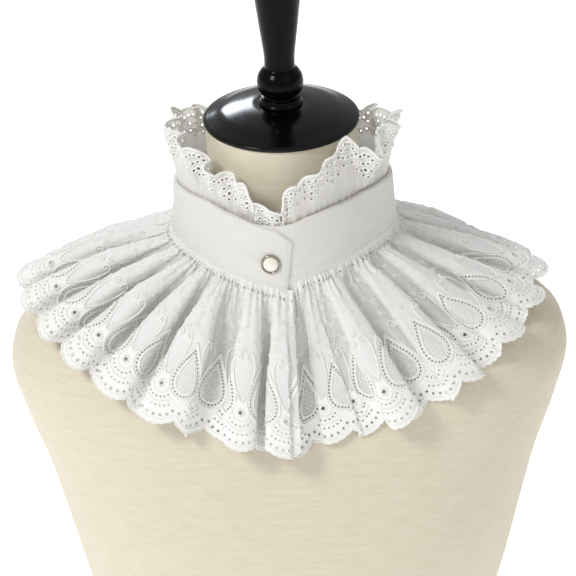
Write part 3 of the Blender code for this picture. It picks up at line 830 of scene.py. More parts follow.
def point_value(tree, name, kind):
    """What the points carry under a name."""
    return add(tree, "GeometryNodeInputNamedAttribute", {"Name": name}, data_type=kind).outputs[0]


def made_of_thread(tree, geometry_out, thread_in):
    """The tree's last steps: plain geometry with smooth faces, made of the thread."""
    real = add(tree, "GeometryNodeRealizeInstances", {"Geometry": geometry_out}).outputs[0]
    smooth = add(tree, "GeometryNodeSetShadeSmooth", {"Geometry": real}).outputs[0]
    wires = {"Geometry": smooth, "Material": thread_in}
    add(tree, "NodeGroupOutput", {0: add(tree, "GeometryNodeSetMaterial", wires).outputs[0]})
    return tree


def rim_tree(name):
    """Geometry nodes: a stitched rim round each eyelet, turned to the cloth and sized to the hole."""
    tree, given = thread_tree(name, (("Rim width", "Float"), ("Segments", "Int")))
    wires = {"Resolution": given["Segments"], "Radius": RIM_PART}
    ring = add(tree, "GeometryNodeCurvePrimitiveCircle", wires).outputs[0]
    wires = {"Resolution": 4, "Radius": given["Rim width"]}
    section = add(tree, "GeometryNodeCurvePrimitiveCircle", wires).outputs[0]
    rim = add(tree, "GeometryNodeCurveToMesh", {"Curve": ring, "Profile Curve": section}).outputs[0]
    facing = point_value(tree, "facing", "FLOAT_VECTOR")
    aim = add(tree, "FunctionNodeAlignRotationToVector", {"Vector": facing}, axis="Z").outputs[0]
    size = point_value(tree, "size", "FLOAT")
    wires = {"Points": given["Geometry"], "Instance": rim, "Rotation": aim, "Scale": size}
    placed = add(tree, "GeometryNodeInstanceOnPoints", wires).outputs[0]
    return made_of_thread(tree, placed, given["Thread"])


def cord_tree(name):
    """Geometry nodes: a satin stitched cord along each path, as thick as its points say."""
    tree, given = thread_tree(name, (("Sides", "Int"),))
    path = add(tree, "GeometryNodeMeshToCurve", {"Mesh": given["Geometry"]}).outputs[0]
    wires = {"Resolution": given["Sides"], "Radius": 1.0}
    section = add(tree, "GeometryNodeCurvePrimitiveCircle", wires).outputs[0]
    size = point_value(tree, "size", "FLOAT")
    wires = {"Curve": path, "Profile Curve": section, "Scale": size, "Fill Caps": True}
    return made_of_thread(tree, add(tree, "GeometryNodeCurveToMesh", wires).outputs[0], given["Thread"])


def grown(name, points, links, tree, values, sizes, facing=None):
    """A plain mesh grown by a tree from points in millimetres, with their sizes and facings."""
    mesh = bpy.data.meshes.new(name + "_points")
    mesh.from_pydata((np.asarray(points) * MM).tolist(), links, [])
    carried = mesh.attributes.new("size", "FLOAT", "POINT")
    carried.data.foreach_set("value", np.asarray(sizes, dtype=np.float32) * MM)
    if facing is not None:
        carried = mesh.attributes.new("facing", "FLOAT_VECTOR", "POINT")
        carried.data.foreach_set("vector", np.asarray(facing, dtype=np.float32).ravel())
    seed = bpy.data.objects.new(name + "_points", mesh)
    bpy.context.scene.collection.objects.link(seed)
    grow = seed.modifiers.new("grow", "NODES")
    grow.node_group = tree
    for item in tree.interface.items_tree:
        if item.in_out == "INPUT" and item.name in values:
            grow[item.identifier] = values[item.name]
    ready = seed.evaluated_get(bpy.context.evaluated_depsgraph_get())
    made = bpy.data.meshes.new_from_object(ready)
    made.name = name
    bpy.data.objects.remove(seed, do_unlink=True)
    piece = bpy.data.objects.new(name, made)
    bpy.context.scene.collection.objects.link(piece)
    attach(piece, "root")
    return piece


def rimmed(name, cloth, spots, lift, width, segments):
    """Rims on the hung cloth round flat spots, each a place and a radius."""
    points, facing = lay_on(cloth, spots[:, :2], lift)
    values = {"Rim width": width, "Segments": segments, "Thread": thread}
    return grown(name, points, [], rims, values, spots[:, 2], facing)


def stitched(name, cloth, paths, sides):
    """Cords along flat paths, each a list of points with the cord's radius and how high it lies."""
    points = []
    links = []
    sizes = []
    for path, size, lift in paths:
        first = len(points)
        placed, _ = lay_on(cloth, np.asarray(path, dtype=float), lift)
        points.extend(placed)
        links.extend((first + i, first + i + 1) for i in range(len(path) - 1))
        sizes.extend([size] * len(path))
    return grown(name, np.array(points), links, cords, {"Sides": sides, "Thread": thread}, sizes)


def moved(paths, distance):
    """The same paths further along the strip."""
    return [(np.asarray(path) + (distance, 0.0), size, lift) for path, size, lift in paths]


def along_strip(paths, pitch, count):
    """The same paths on every repeat of the strip."""
    return [path for k in range(count) for path in moved(paths, k * pitch)]


def hem_path(edge, length, step, size):
    """A cord along the whole scalloped edge."""
    x = np.linspace(0.0, length, round(length / step))
    return (np.stack((x, edge(x)), axis=1), size, 0.0)


def frill_place(turn, out, rise, w):
    """Point of the frill at a distance from the line of its tips on the untrimmed strip.

    The strip is trimmed to what the rise needs, so its plain lower part is narrower at the ends.
    """
    shown = np.minimum(FRILL_BORDER, rise - FRILL_PLAIN_LEAST)
    rest = (w - shown) / (FRILL_WIDTH - shown)
    over = np.where(w < shown, rise - w, rise - shown - rest * (rise - shown + FRILL_TUCK))
    up = np.clip(over / rise, 0.0, None)
    lean = (out + FRILL_FLARE * up) * np.minimum(up, 1.0)
    return at_turn(band_radius(turn, 0.0) - FRILL_INSET + lean, turn, band_plan(turn, "top_z") + over)


frill_steps = np.linspace(0.0, len(FRILL_WAVES) - 1.0, FRILL_STEPS)
wave_turn, wave_out, wave_rise = (column(FRILL_FIELDS, FRILL_WAVES, name) for name in FRILL_FIELDS)
frill_turn = smooth_through(frill_steps, np.arange(len(FRILL_WAVES)), wave_turn)
frill_out = smooth_through(frill_turn, wave_turn, wave_out)
frill_rise = smooth_through(frill_turn, wave_turn, wave_rise)
frill_rim = running_length(frill_place(frill_turn, frill_out, frill_rise, np.zeros(FRILL_STEPS)), 0)
frill_length = float(frill_rim[-1])
frill_pitch = frill_length / FRILL_SCALLOPS
frill_half = frill_pitch / 2
frill_u = np.arange(0.0, frill_length + ALONG_STEP, ALONG_STEP)
frill_w = np.arange(0.0, FRILL_WIDTH + DOWN_STEP, DOWN_STEP)[None, :]
frill_at = [np.interp(frill_u, frill_rim, row)[:, None] for row in (frill_turn, frill_out, frill_rise)]

# Gathers deepen toward the seam, each lobe curls near its edge, and a ripple runs between them
gather = uneven_wave(frill_u, 1.05, (1.1, 0.17), (0.7, 0.063))[:, None]
ripple = uneven_wave(frill_u, 0.41, (0.9, 0.09))[:, None]
curl = uneven_wave(frill_u, math.tau / frill_pitch, (0.9, 0.047))[:, None]
gather_reach = np.clip((frill_w - FRILL_GATHER_FROM) / FRILL_GATHER_WIDTH, 0.0, 1.0) ** 1.5
curl_reach = np.clip(1.0 - frill_w / FRILL_CURL_WIDTH, 0.0, 1.0) ** 1.4
ripple_reach = np.sin(np.pi * np.clip(frill_w / FRILL_RIPPLE_WIDTH, 0.0, 1.0))
frill_push = FRILL_GATHER * gather * gather_reach + FRILL_CURL * curl * curl_reach
frill_push = frill_push + FRILL_RIPPLE * ripple * ripple_reach
frill_outward = at_turn(1.0, frill_at[0], 0.0)
frill_cloth = hung_cloth(frill_place(*frill_at, frill_w), frill_push, frill_outward)


def frill_edge(x):
    """The frill's scalloped edge, seven small waves to a lobe."""
    return scallop(x, frill_pitch, FRILL_NOTCH, sharp=0.7, waves=7, wave=0.45)


frill_row = inside_edge(frill_edge, frill_pitch, inset=3.9, count=6)
frill_holes = [(x, w, FRILL_ROW_EYELET) for x, w in frill_row if x < frill_half]
frill_holes += [(frill_half - off, w, r) for off, w, r in FRILL_FLOWER]
frill_holes.append((0.0, FRILL_NOTCH_EYELET_AT, FRILL_SMALL_EYELET))
frill_flat, frill_faces = cut_cloth(frill_half, FRILL_WIDTH, frill_edge, frill_holes, [], FRILL_MESH)
one_cloth = np.zeros(len(frill_faces), dtype=int)
strip = repeated(frill_flat, frill_faces, one_cloth, frill_half, FRILL_SCALLOPS)
strip_flat, strip_faces, strip_marks = strip
strip_points, _ = lay_on(frill_cloth, strip_flat)
frill_cotton = woven(
    "thin_frill_cotton", FRILL_LIGHT, FRILL_DARK, thread=0.8, rough=0.85, relief=0.25, alpha=0.85
)


def stitches(name, light, dark, pitch):
    """Mercerised embroidery thread laid side by side: white, with a soft gloss and fine ribs."""
    material, tree, shader = new_finish(name)
    grain = clouds(tree, 1.0 / (pitch * MM), 2.0)
    finish = {
        "Base Color": shade(tree, grain, dark, light),
        "Normal": relief_normal(tree, grain, 0.3, 0.0003),
        "Roughness": 0.6,
        "Sheen Weight": 0.2,
    }
    feed(tree, shader, finish)
    return material


thread = stitches("embroidery_thread", THREAD_LIGHT, THREAD_DARK, 0.7)
strip_faces = laid_faces(frill_cloth, strip_faces)
frill = cloth_mesh(
    "eyelet_neck_frill", strip_points, strip_faces, [frill_cotton], strip_flat, strip_marks
)
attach(frill, "root")
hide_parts("neck_frill")

rims = rim_tree("eyelet_rims")
cords = cord_tree("satin_cords")
frill_spots = np.array(mirrored(frill_holes, frill_pitch, FRILL_SCALLOPS))
frill_rims = rimmed("frill_eyelet_rims", frill_cloth, frill_spots, RIM_LIFT, width=0.5, segments=11)
frill_line = [(inside_edge(frill_edge, frill_pitch, inset=6.3, count=26), 0.3, 0.15)]
frill_paths = [hem_path(frill_edge, frill_length, step=0.8, size=0.75)]
frill_paths += along_strip(frill_line, frill_pitch, FRILL_SCALLOPS)
frill_cords = stitched("frill_satin_stitching", frill_cloth, frill_paths, sides=5)

# Flounce
# A wide strip of cotton voile with a scalloped border of machine embroidery and eyelets, gathered
# to less than half of its length and sewn into the band's lower seam. It hangs over the shoulders
# in soft folds. The voile is sheer, and the stitched border is close and opaque.
FLOUNCE_SCALLOPS = 54
FLOUNCE_NOTCH = 6.5
FLOUNCE_CLEARANCE = 1.6
FLOUNCE_SEAM_DROP = 1.2
FLOUNCE_UNDER_DROP = 7.0
FLOUNCE_UNDER_TURN = 3.0
FLOUNCE_PATTERN = 105.0
FLOUNCE_ALLOWANCE = 3.0
FLOUNCE_MESH = 1.6
FOLD_START_AT = 0.02
FOLD_FULL_AT = 0.42
FOLD_STEEPNESS = 1.5
FOLD_STEEPEST = 1.85
FOLD_SPREAD_RATE = 2.5
FOLD_GROW_POWER = 0.75
FOLD_STEPS = 40
FAN_POWER = 0.85
SEAM_LEAN_FADE = 18.0
PROFILE_TURN_STEP = 1.0
PROFILE_MARGIN = 12.0
PROFILE_ABOVE = 10.0
PROFILE_BELOW = 150.0
PROFILE_FINE_STEP = 1.5
PROFILE_STEP = 2.5
PROFILE_STEPS = 56
GATHER_PITCH = 10.3
GATHER_RISE = 1.25
CREASE_PITCH = 21.0
CREASE_RISE = 0.75
SOFT_RISE = 0.55
# The strip's length is measured at this part of its depth, and its border keeps its cut depth
# over the first part of the pattern
HEM_AT = 0.79
BORDER_PART = 0.57
LACE_LIGHT = "#FDFDFC"
LACE_DARK = "#F4F3F0"
VOILE_LIGHT = "#FAFAF9"
VOILE_DARK = "#F0F0EE"

# Folds from the upper end of the strip round the form to the under end, crests and valleys in turn:
# turns at the seam and the hem, lift off the form at the hem, and how broad the fold's top or floor is
FLOUNCE_FIELDS = ("seam", "hem", "lift", "broad")
FLOUNCE_FOLDS = (
    (-2.6, -2.4, 14.0, 0.3),
    (4.5, 5.0, 17.0, 0.6),
    (9.3, 10.2, 1.0, -0.6),
    (16.0, 14.7, 18.5, 0.3),
    (26.0, 26.5, 0.0, 0.2),
    (34.5, 40.5, 19.0, 0.5),
    (40.5, 47.0, 2.0, -0.2),
    (46.0, 53.0, 18.0, 0.4),
    (52.5, 59.5, 0.0, 0.0),
    (58.5, 64.8, 18.0, 0.4),
    (64.5, 70.0, 0.5, 0.0),
    (70.5, 75.0, 18.0, 0.4),
    (76.5, 79.7, 3.0, 0.1),
    (82.5, 84.2, 22.0, 0.4),
    (88.5, 89.0, 6.0, 0.0),
    (94.5, 94.2, 24.0, 0.5),
    (101.0, 101.0, 4.0, 0.0),
    (107.5, 107.0, 19.0, 0.4),
    (114.0, 113.5, 1.5, 0.0),
    (121.0, 120.5, 15.0, 0.3),
    (128.0, 127.0, 0.0, 0.1),
    (136.0, 135.0, 13.0, 0.4),
    (143.0, 142.0, 1.0, 0.0),
    (150.0, 149.5, 15.0, 0.3),
    (157.0, 156.5, 0.0, 0.3),
    (165.0, 165.0, 14.0, 0.3),
    (172.0, 172.5, 0.5, 0.1),
    (180.0, 180.5, 15.0, 0.4),
    (188.0, 188.0, 0.0, 0.1),
    (195.0, 195.0, 13.5, 0.3),
    (202.0, 202.5, 1.0, 0.1),
    (210.0, 210.5, 15.0, 0.3),
    (217.0, 217.5, 0.0, 0.1),
    (224.0, 225.0, 13.0, 0.4),
    (231.0, 232.0, 0.5, 0.1),
    (239.0, 240.0, 15.0, 0.4),
    (246.0, 246.5, 0.0, 0.1),
    (253.0, 253.0, 13.0, 0.3),
    (260.0, 259.5, 1.0, 0.1),
    (267.0, 266.0, 15.0, 0.4),
    (275.0, 273.0, 0.0, 0.1),
    (284.0, 280.0, 13.5, 0.4),
    (292.0, 286.5, 0.5, 0.2),
    (300.0, 293.0, 14.0, 0.4),
    (308.0, 300.0, 0.0, 0.3),
    (316.0, 307.5, 13.0, 0.3),
    (327.0, 316.0, 0.0, 0.5),
    (339.5, 325.0, 15.0, 0.3),
    (345.5, 331.5, 0.0, -0.2),
    (350.5, 344.0, 2.0, 0.5),
    (356.0, 353.0, 0.0, 0.3),
    (366.0, 366.0, 0.6, 0.0),
)
DEPTH_FIELDS = ("turn", "depth")
FLOUNCE_DEPTHS = (
    (-10.0, 101.0),
    (20.0, 101.5),
    (60.0, 103.0),
    (95.0, 108.0),
    (180.0, 104.0),
    (270.0, 105.5),
    (315.0, 107.0),
    (345.0, 104.0),
    (370.0, 100.0),
)


def form_profiles():
    """Down-the-form lines from the band's lower edge, one for each profile turn.

    Each line gives the form's surface at even steps of length, its outward normal in the
    upright plane of the line, and the height of the band's edge off the form.
    """
    turns = np.arange(-PROFILE_MARGIN, 360.0 + PROFILE_MARGIN + PROFILE_TURN_STEP, PROFILE_TURN_STEP)
    lines = []
    normals = []
    starts = []
    for turn in turns:
        seam_r = float(band_radius(turn, 1.0) + lap_lift(turn) - BAND_WALL / 4)
        seam_z = float(band_edges(turn)[1] - FLOUNCE_SEAM_DROP) - float(under_drop(turn))
        heights = np.arange(seam_z + PROFILE_ABOVE, seam_z - PROFILE_BELOW, -PROFILE_FINE_STEP)
        body = np.stack((torso_radius(heights, turn), heights), axis=1)
        length = running_length(body, 0)
        near = np.argmin(np.hypot(body[:, 0] - seam_r, body[:, 1] - seam_z))
        line = at_lengths(body, length, length[near] + np.arange(PROFILE_STEPS) * PROFILE_STEP)
        tangent = np.gradient(line, axis=0)
        tangent /= np.linalg.norm(tangent, axis=1)[:, None]
        normal = np.stack((-tangent[:, 1], tangent[:, 0]), axis=1)
        toward = np.array((seam_r, seam_z)) - line[0]
        first = toward / np.linalg.norm(toward)
        blend = np.exp(-np.arange(PROFILE_STEPS) * PROFILE_STEP / SEAM_LEAN_FADE)[:, None]
        normal = normal * (1.0 - blend) + first * blend
        normal /= np.linalg.norm(normal, axis=1)[:, None]
        lines.append(line)
        normals.append(normal)
        starts.append(np.linalg.norm(toward))
    return turns, np.array(lines), np.array(normals), np.array(starts)


def under_drop(turn):
    """How far the strip's under end is lowered, to pass beneath its upper end."""
    past = (turn - 360.0 - BAND_OVER_END_TURN) / FLOUNCE_UNDER_TURN
    return FLOUNCE_UNDER_DROP * ease(past + 1.0)


def flounce_place(phase, down, length, profiles):
    """Points of the flounce at fold phases and parts of the way down, for a given cut depth."""
    turns, lines, normals, starts = profiles
    last = len(FLOUNCE_FOLDS) - 1
    i = np.clip(np.floor(phase).astype(int), 0, last - 1)
    w = phase - i
    seam, hem, lift, broad = (column(FLOUNCE_FIELDS, FLOUNCE_FOLDS, name) for name in FLOUNCE_FIELDS)
    lean = (broad[i] - broad[i + 1]) / 2
    steep = np.minimum(FOLD_STEEPNESS + (broad[i] + broad[i + 1]) / 4, FOLD_STEEPEST)
    spread = np.clip(down * FOLD_SPREAD_RATE, 0.0, 1.0)
    sway = lean * np.sin(math.pi * w) / math.pi + steep * np.sin(2 * math.pi * w) / (2 * math.pi)
    f = w + spread * sway
    way = np.maximum(down, 0.0) ** FAN_POWER
    first = seam[i] + (hem[i] - seam[i]) * way
    second = seam[i + 1] + (hem[i + 1] - seam[i + 1]) * way
    turn = first + (second - first) * f
    stand = lift[i] + (lift[i + 1] - lift[i]) * (1 - np.cos(math.pi * w)) / 2
    grown_part = np.clip((down - FOLD_START_AT) / (FOLD_FULL_AT - FOLD_START_AT), 0.0, 1.0)
    t = (turn - turns[0]) / PROFILE_TURN_STEP
    a = np.clip(np.floor(t).astype(int), 0, len(turns) - 2)
    t = t - a
    s = down * length / PROFILE_STEP
    b = np.clip(np.floor(s).astype(int), 0, PROFILE_STEPS - 2)
    s = s - b
    start = starts[a] * (1 - t) + starts[a + 1] * t
    off = start + (FLOUNCE_CLEARANCE + stand - start) * grown_part ** FOLD_GROW_POWER
    place = on_grid(lines, a, b, t, s) + on_grid(normals, a, b, t, s) * off[..., None]
    return at_turn(place[..., 0], turn, place[..., 1])


profiles = form_profiles()
fold_count = len(FLOUNCE_FOLDS)
fold_key = np.arange(fold_count)
fold_seam, fold_hem, fold_lift = (
    column(FLOUNCE_FIELDS, FLOUNCE_FOLDS, name) for name in ("seam", "hem", "lift")
)
fold_steps = np.linspace(0.0, fold_count - 1.0, (fold_count - 1) * FOLD_STEPS + 1)
depth_turn, depth_cut = (column(DEPTH_FIELDS, FLOUNCE_DEPTHS, name) for name in DEPTH_FIELDS)
fold_depth = np.interp(np.interp(fold_steps, fold_key, fold_hem), depth_turn, depth_cut)

# The reach down the form is mended until the hung cloth is as deep as it was cut
fold_reach = fold_depth.copy()
steps, parts = np.meshgrid(fold_steps, np.linspace(0.0, 1.0, 25), indexing="ij")
for _ in range(4):
    trial = flounce_place(steps, parts, fold_reach[:, None], profiles)
    fold_reach *= fold_depth / running_length(trial, 1)[:, -1]
hem_points = flounce_place(fold_steps, np.full(len(fold_steps), HEM_AT), fold_reach, profiles)
hem_line = running_length(hem_points, 0)
flounce_length = float(hem_line[-1])
flounce_pitch = flounce_length / FLOUNCE_SCALLOPS
half = flounce_pitch / 2
flounce_u = np.arange(0.0, flounce_length + ALONG_STEP, ALONG_STEP)[:, None]
flounce_w = np.arange(0.0, FLOUNCE_PATTERN + FLOUNCE_ALLOWANCE + DOWN_STEP, DOWN_STEP)[None, :]
u_steps, u_reach, u_depth = (
    np.interp(flounce_u, hem_line, row) for row in (fold_steps, fold_reach, fold_depth)
)
border = FLOUNCE_PATTERN * BORDER_PART
plain_w = border + (flounce_w - border) * (u_depth - border) / (FLOUNCE_PATTERN - border)
real_w = np.where(flounce_w < border, flounce_w, plain_w)
u_down = np.clip(1.0 - real_w / u_depth, 0.0, 1.0)
flounce_grid = flounce_place(np.broadcast_to(u_steps, u_down.shape), u_down, u_reach, profiles)

# The allowance runs up inside the band's seam
tucked = np.clip(flounce_w - FLOUNCE_PATTERN, 0.0, None) / FLOUNCE_ALLOWANCE
u_seam = np.interp(u_steps, fold_key, fold_seam)
flounce_grid[..., 2] += tucked * (FLOUNCE_ALLOWANCE + under_drop(u_seam))

# Gathers fade below the seam, creases lower down, and the rest of the cloth is softly uneven
seam_way = np.clip(u_depth - real_w, 0.0, None)
gather = uneven_wave(flounce_u, math.tau / GATHER_PITCH, (1.6, 0.11), (1.2, 0.047))
crease = uneven_wave(flounce_u, math.tau / CREASE_PITCH, (1.8, 0.071), (0.9, 0.19))
soft = uneven_wave(flounce_u, 0.13, (2.0, 0.031)) * np.cos(flounce_w * 0.09 + flounce_u * 0.017)
gather_fade = np.clip(seam_way / 4.0 + 0.25, 0.0, 1.0) * np.exp(-seam_way / 13.0)
crease_fade = np.clip(seam_way / 10.0, 0.0, 1.0) * np.exp(-seam_way / 34.0)
soft_fade = np.sin(np.pi * np.clip(seam_way / 110.0, 0.0, 1.0))
flounce_push = gather * GATHER_RISE * gather_fade + crease * CREASE_RISE * crease_fade
flounce_push += soft * SOFT_RISE * soft_fade
out_way = flounce_grid / np.linalg.norm(flounce_grid[..., :2], axis=-1)[..., None] + (0.0, 0.0, 1.0)
flounce_cloth = hung_cloth(flounce_grid, flounce_push, out_way)

# The border's repeat, in millimetres from the line of the tips: a rosette of eyelets in each lobe,
# and a teardrop over each notch with a net in it
ROSETTE_AT = 23.0
ROSETTE_EYELET = 1.45
ROW_EYELET = 0.9
PINHOLE = 0.62
DROP_EYELET = 0.7
DROP_EYELETS = 17
DROP_LOW = 19.0
DROP_HIGH = 54.0
DROP_HALF_WIDTH = 10.0
# The widest that the teardrop's formula gives before it is scaled
DROP_WIDEST = 0.735
TOP_EYELET = 0.85
TOP_EYELET_INSET = 4.5
STITCHED_TO = 30.0
HEART_FROM = 29.5

# A scroll on each side of a lobe's middle: distance from that middle and from the tips
SCROLL = (
    (0.0, 29.0),
    (2.2, 32.4),
    (4.5, 37.5),
    (6.4, 43.5),
    (7.5, 49.5),
    (7.2, 54.8),
    (5.4, 58.2),
    (3.1, 58.3),
    (1.9, 56.5),
    (2.3, 54.6),
    (3.9, 54.2),
    (4.5, 55.6),
    (3.7, 56.4),
)


def through(points, count):
    """An even smooth path through a few points."""
    points = np.asarray(points, dtype=float)
    fine = np.linspace(0.0, len(points) - 1, count * 4)
    slope = np.gradient(points, axis=0)
    i = np.minimum(fine.astype(int), len(points) - 2)
    t = (fine - i)[:, None]
    curve = (
        (1 + 2 * t) * (1 - t) ** 2 * points[i]
        + t * (1 - t) ** 2 * slope[i]
        + t * t * (3 - 2 * t) * points[i + 1]
        + t * t * (t - 1) * slope[i + 1]
    )
    length = running_length(curve, 0)
    return at_lengths(curve, length, np.linspace(0.0, length[-1], count))


def flounce_edge(x):
    """The flounce's scalloped edge, seven small waves to a lobe."""
    return scallop(x, flounce_pitch, FLOUNCE_NOTCH, sharp=0.8, waves=7, wave=0.8)


def drop_outline(inset, top_inset, count):
    """Right half of the teardrop over each notch, from its lowest point to its tip."""
    turns = np.linspace(math.pi, 0.0, count)
    low = DROP_LOW + inset
    high = DROP_HIGH - top_inset
    broad = (DROP_HALF_WIDTH - inset) / DROP_WIDEST
    across = broad * np.sin(turns) * np.sin(turns / 2) ** 1.2
    return np.stack((across, (low + high) / 2 + (high - low) / 2 * np.cos(turns)), axis=1)


def pinhole_arc(radius, angles):
    """Pinholes on a circle round the rosette's middle, at angles in degrees."""
    return [
        (half + radius * math.cos(a), ROSETTE_AT + radius * math.sin(a), PINHOLE)
        for a in np.radians(angles)
    ]


def width_at(outline, w):
    """How wide an outline is at distances from the tips, and -1 past its ends."""
    return np.interp(w, outline[:, 1], outline[:, 0], left=-1.0, right=-1.0)


drop_outer = drop_outline(inset=0.0, top_inset=0.0, count=42)
drop_inner = drop_outline(inset=4.0, top_inset=9.0, count=30)
drop_ring = drop_outline(inset=2.1, top_inset=5.0, count=200)
ring_length = running_length(drop_ring, 0)
ring_eyelets = at_lengths(drop_ring, ring_length, np.linspace(0.0, ring_length[-1], DROP_EYELETS))
ring_eyelets[[0, -1], 0] = 0.0
row_eyelets = inside_edge(flounce_edge, flounce_pitch, inset=4.3, count=8)
flounce_holes = [(x, w, ROW_EYELET) for x, w in row_eyelets if x < half]
flounce_holes.append((half, ROSETTE_AT, ROSETTE_EYELET))
flounce_holes += pinhole_arc(7.6, (-90, -109, -128, -147))
flounce_holes += pinhole_arc(12.7, (-96, -108, -120, -132))
flounce_holes += [(x, w, DROP_EYELET) for x, w in ring_eyelets]
flounce_holes += [(half * part, FLOUNCE_PATTERN - TOP_EYELET_INSET, TOP_EYELET) for part in (0.25, 0.75)]
scroll = through(SCROLL, 34)
scroll_left = np.stack((half - scroll[:, 0], scroll[:, 1]), axis=1)
limits = [drop_outer[2:-1], drop_inner[2:-2], scroll_left[1:20]]
flounce_width = FLOUNCE_PATTERN + FLOUNCE_ALLOWANCE
flat, faces = cut_cloth(half, flounce_width, flounce_edge, flounce_holes, limits, FLOUNCE_MESH)

# Sheer cloth fills the teardrops, the space between the scrolls, and the top over the border
middle_x, middle_w = flat[faces].mean(axis=1).T
closely_stitched = (middle_w < STITCHED_TO) | (middle_x < width_at(drop_outer, middle_w))
sheer = ~closely_stitched | (middle_x < width_at(drop_inner, middle_w))
sheer |= (middle_w > HEART_FROM) & (half - middle_x < width_at(scroll[:16], middle_w))
marks = np.where(sheer, 1, 0)
lace_flat, lace_faces, lace_marks = repeated(flat, faces, marks, half, FLOUNCE_SCALLOPS)
lace_points, _ = lay_on(flounce_cloth, lace_flat)
lace_faces = np.array(laid_faces(flounce_cloth, lace_faces))

# It is closer on the folds' high sides, where it lies double and where the closer cloth is also painted
# light that whitens the crests, and in the crumpled gathers
lift_steps = np.interp(lace_flat[lace_faces[:, 0], 0], hem_line, fold_steps)
fold_index = np.clip(lift_steps.astype(int), 0, fold_count - 2)
past_fold = lift_steps - fold_index
rising = fold_lift[fold_index + 1] > fold_lift[fold_index]
toward_high = np.where(rising, past_fold, 1 - past_fold)
seam_u, seam_w = lace_flat[lace_faces].mean(axis=1).T
crumpled = seam_w > FLOUNCE_PATTERN - 9.0 - 5.0 * np.sin(seam_u * 0.37) - 3.0 * np.sin(seam_u * 1.3)
lace_marks = np.where((lace_marks == 1) & ((toward_high > 0.5) | crumpled), 2, lace_marks)
lace_cotton = woven("embroidered_cotton", LACE_LIGHT, LACE_DARK, thread=0.8, rough=0.85, relief=0.25)
# The closer voile is partly painted light: it makes the fold crests whiter over the form
voile, voile_doubled_and_painted_light = (
    woven(name, VOILE_LIGHT, VOILE_DARK, thread=0.8, rough=0.85, relief=0.2, alpha=alpha)
    for name, alpha in (("sheer_cotton_voile", 0.68), ("cotton_voile_doubled_and_painted_light", 0.9))
)
cloths = [lace_cotton, voile, voile_doubled_and_painted_light]
flounce = cloth_mesh("voile_flounce", lace_points, lace_faces.tolist(), cloths, lace_flat, lace_marks)
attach(flounce, "root")
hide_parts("flounce")

spots = np.array(mirrored(flounce_holes, flounce_pitch, FLOUNCE_SCALLOPS))
flounce_rims = rimmed("flounce_eyelet_rims", flounce_cloth, spots, RIM_LIFT, width=0.34, segments=7)

# Cords round each rosette: radius, first and last angle, points, the cord's radius and its lift
ROSETTE_CORDS = (
    (5.0, -172.0, -8.0, 13, 0.42, 0.2),
    (2.2, 0.0, 360.0, 13, 0.4, 0.15),
    (10.2, -148.0, -32.0, 18, 0.42, 0.2),
)
SCROLL_CORD = 0.58
EDGE_CORD = 0.3
lobe_cords = [
    (arc(half, ROSETTE_AT, radius, start, end, count), size, lift)
    for radius, start, end, count, size, lift in ROSETTE_CORDS
]
scroll_right = np.stack((flounce_pitch - scroll_left[:, 0], scroll_left[:, 1]), axis=1)
lobe_cords += [(side, SCROLL_CORD, 0.25) for side in (scroll_left, scroll_right)]
lobe_cords.append((inside_edge(flounce_edge, flounce_pitch, inset=2.2, count=30), EDGE_CORD, 0.15))
drop_cords = [
    (np.concatenate((outline[::2] * (-1.0, 1.0), outline[::-2])), size, 0.2)
    for outline, size in ((drop_outer, 0.5), (drop_inner, 0.42))
]
motif = lobe_cords + moved(drop_cords, flounce_pitch)
satin_paths = [hem_path(flounce_edge, flounce_length, step=0.85, size=0.5)]
satin_paths += along_strip(motif, flounce_pitch, FLOUNCE_SCALLOPS - 1)
satin_paths += moved(lobe_cords, (FLOUNCE_SCALLOPS - 1) * flounce_pitch)
satin = stitched("flounce_satin_stitching", flounce_cloth, satin_paths, sides=5)

NET_PITCH = 2.0
NET_MIDDLE = 34.0
NET_REACH = 30.0
NET_CORD = 0.26
net = []
net_way = np.arange(-24.0, 24.0, 0.6)
for lean in (1.0, -1.0):
    for shift in np.arange(-NET_REACH, NET_REACH, NET_PITCH * math.sqrt(2.0)):
        line = np.stack((net_way, NET_MIDDLE + shift + lean * net_way), axis=1)
        kept = line[np.abs(line[:, 0]) < width_at(drop_inner, line[:, 1])]
        if len(kept) > 2:
            net.append((kept[::2] if len(kept) > 4 else kept, NET_CORD, 0.05))
net_paths = along_strip(moved(net, flounce_pitch), flounce_pitch, FLOUNCE_SCALLOPS - 1)
net_fill = stitched("flounce_net_filling", flounce_cloth, net_paths, sides=3)

# A light honeycomb of chain stitch over the sheer top, with a small blossom at each corner
LATTICE_LOW = 63.0
LATTICE_ROWS = 4
LATTICE_CORD = 0.25
LATTICE_BOW = 0.9
LATTICE_SAG = 1.1
PETAL_OUT = 1.1
PETAL_RADIUS = 0.55
PETAL_ANGLES = (45.0, 135.0, 225.0, 315.0)
lattice_side = half / math.sqrt(3.0)
bow = LATTICE_BOW * np.sin(np.linspace(0.0, math.tau, 8))
sag = LATTICE_SAG * np.sin(np.linspace(0.0, math.pi, 8))
lattice = []
blossoms = []
for row in range(LATTICE_ROWS):
    base = LATTICE_LOW + 1.5 * lattice_side * row
    zig = [
        (j * half / 2, base + lattice_side / 4 * (1 if (j + row) % 2 else -1)) for j in range(5)
    ]
    blossoms += zig[:4]
    if row < LATTICE_ROWS - 1:
        for x, w in zig[(row + 1) % 2:4:2]:
            rise = np.linspace(w, w + lattice_side, 8)
            lattice.append((np.stack((x + bow, rise), axis=1), LATTICE_CORD, 0.0))
    for a, b in zip(zig[:-1], zig[1:]):
        line = np.linspace(a, b, 8)
        line[:, 1] += sag * (1.0 if b[1] > a[1] else -1.0)
        lattice.append((line, LATTICE_CORD, 0.0))
lattice_paths = along_strip(lattice, flounce_pitch, FLOUNCE_SCALLOPS)
lattice_net = stitched("flounce_chain_lattice", flounce_cloth, lattice_paths, sides=4)
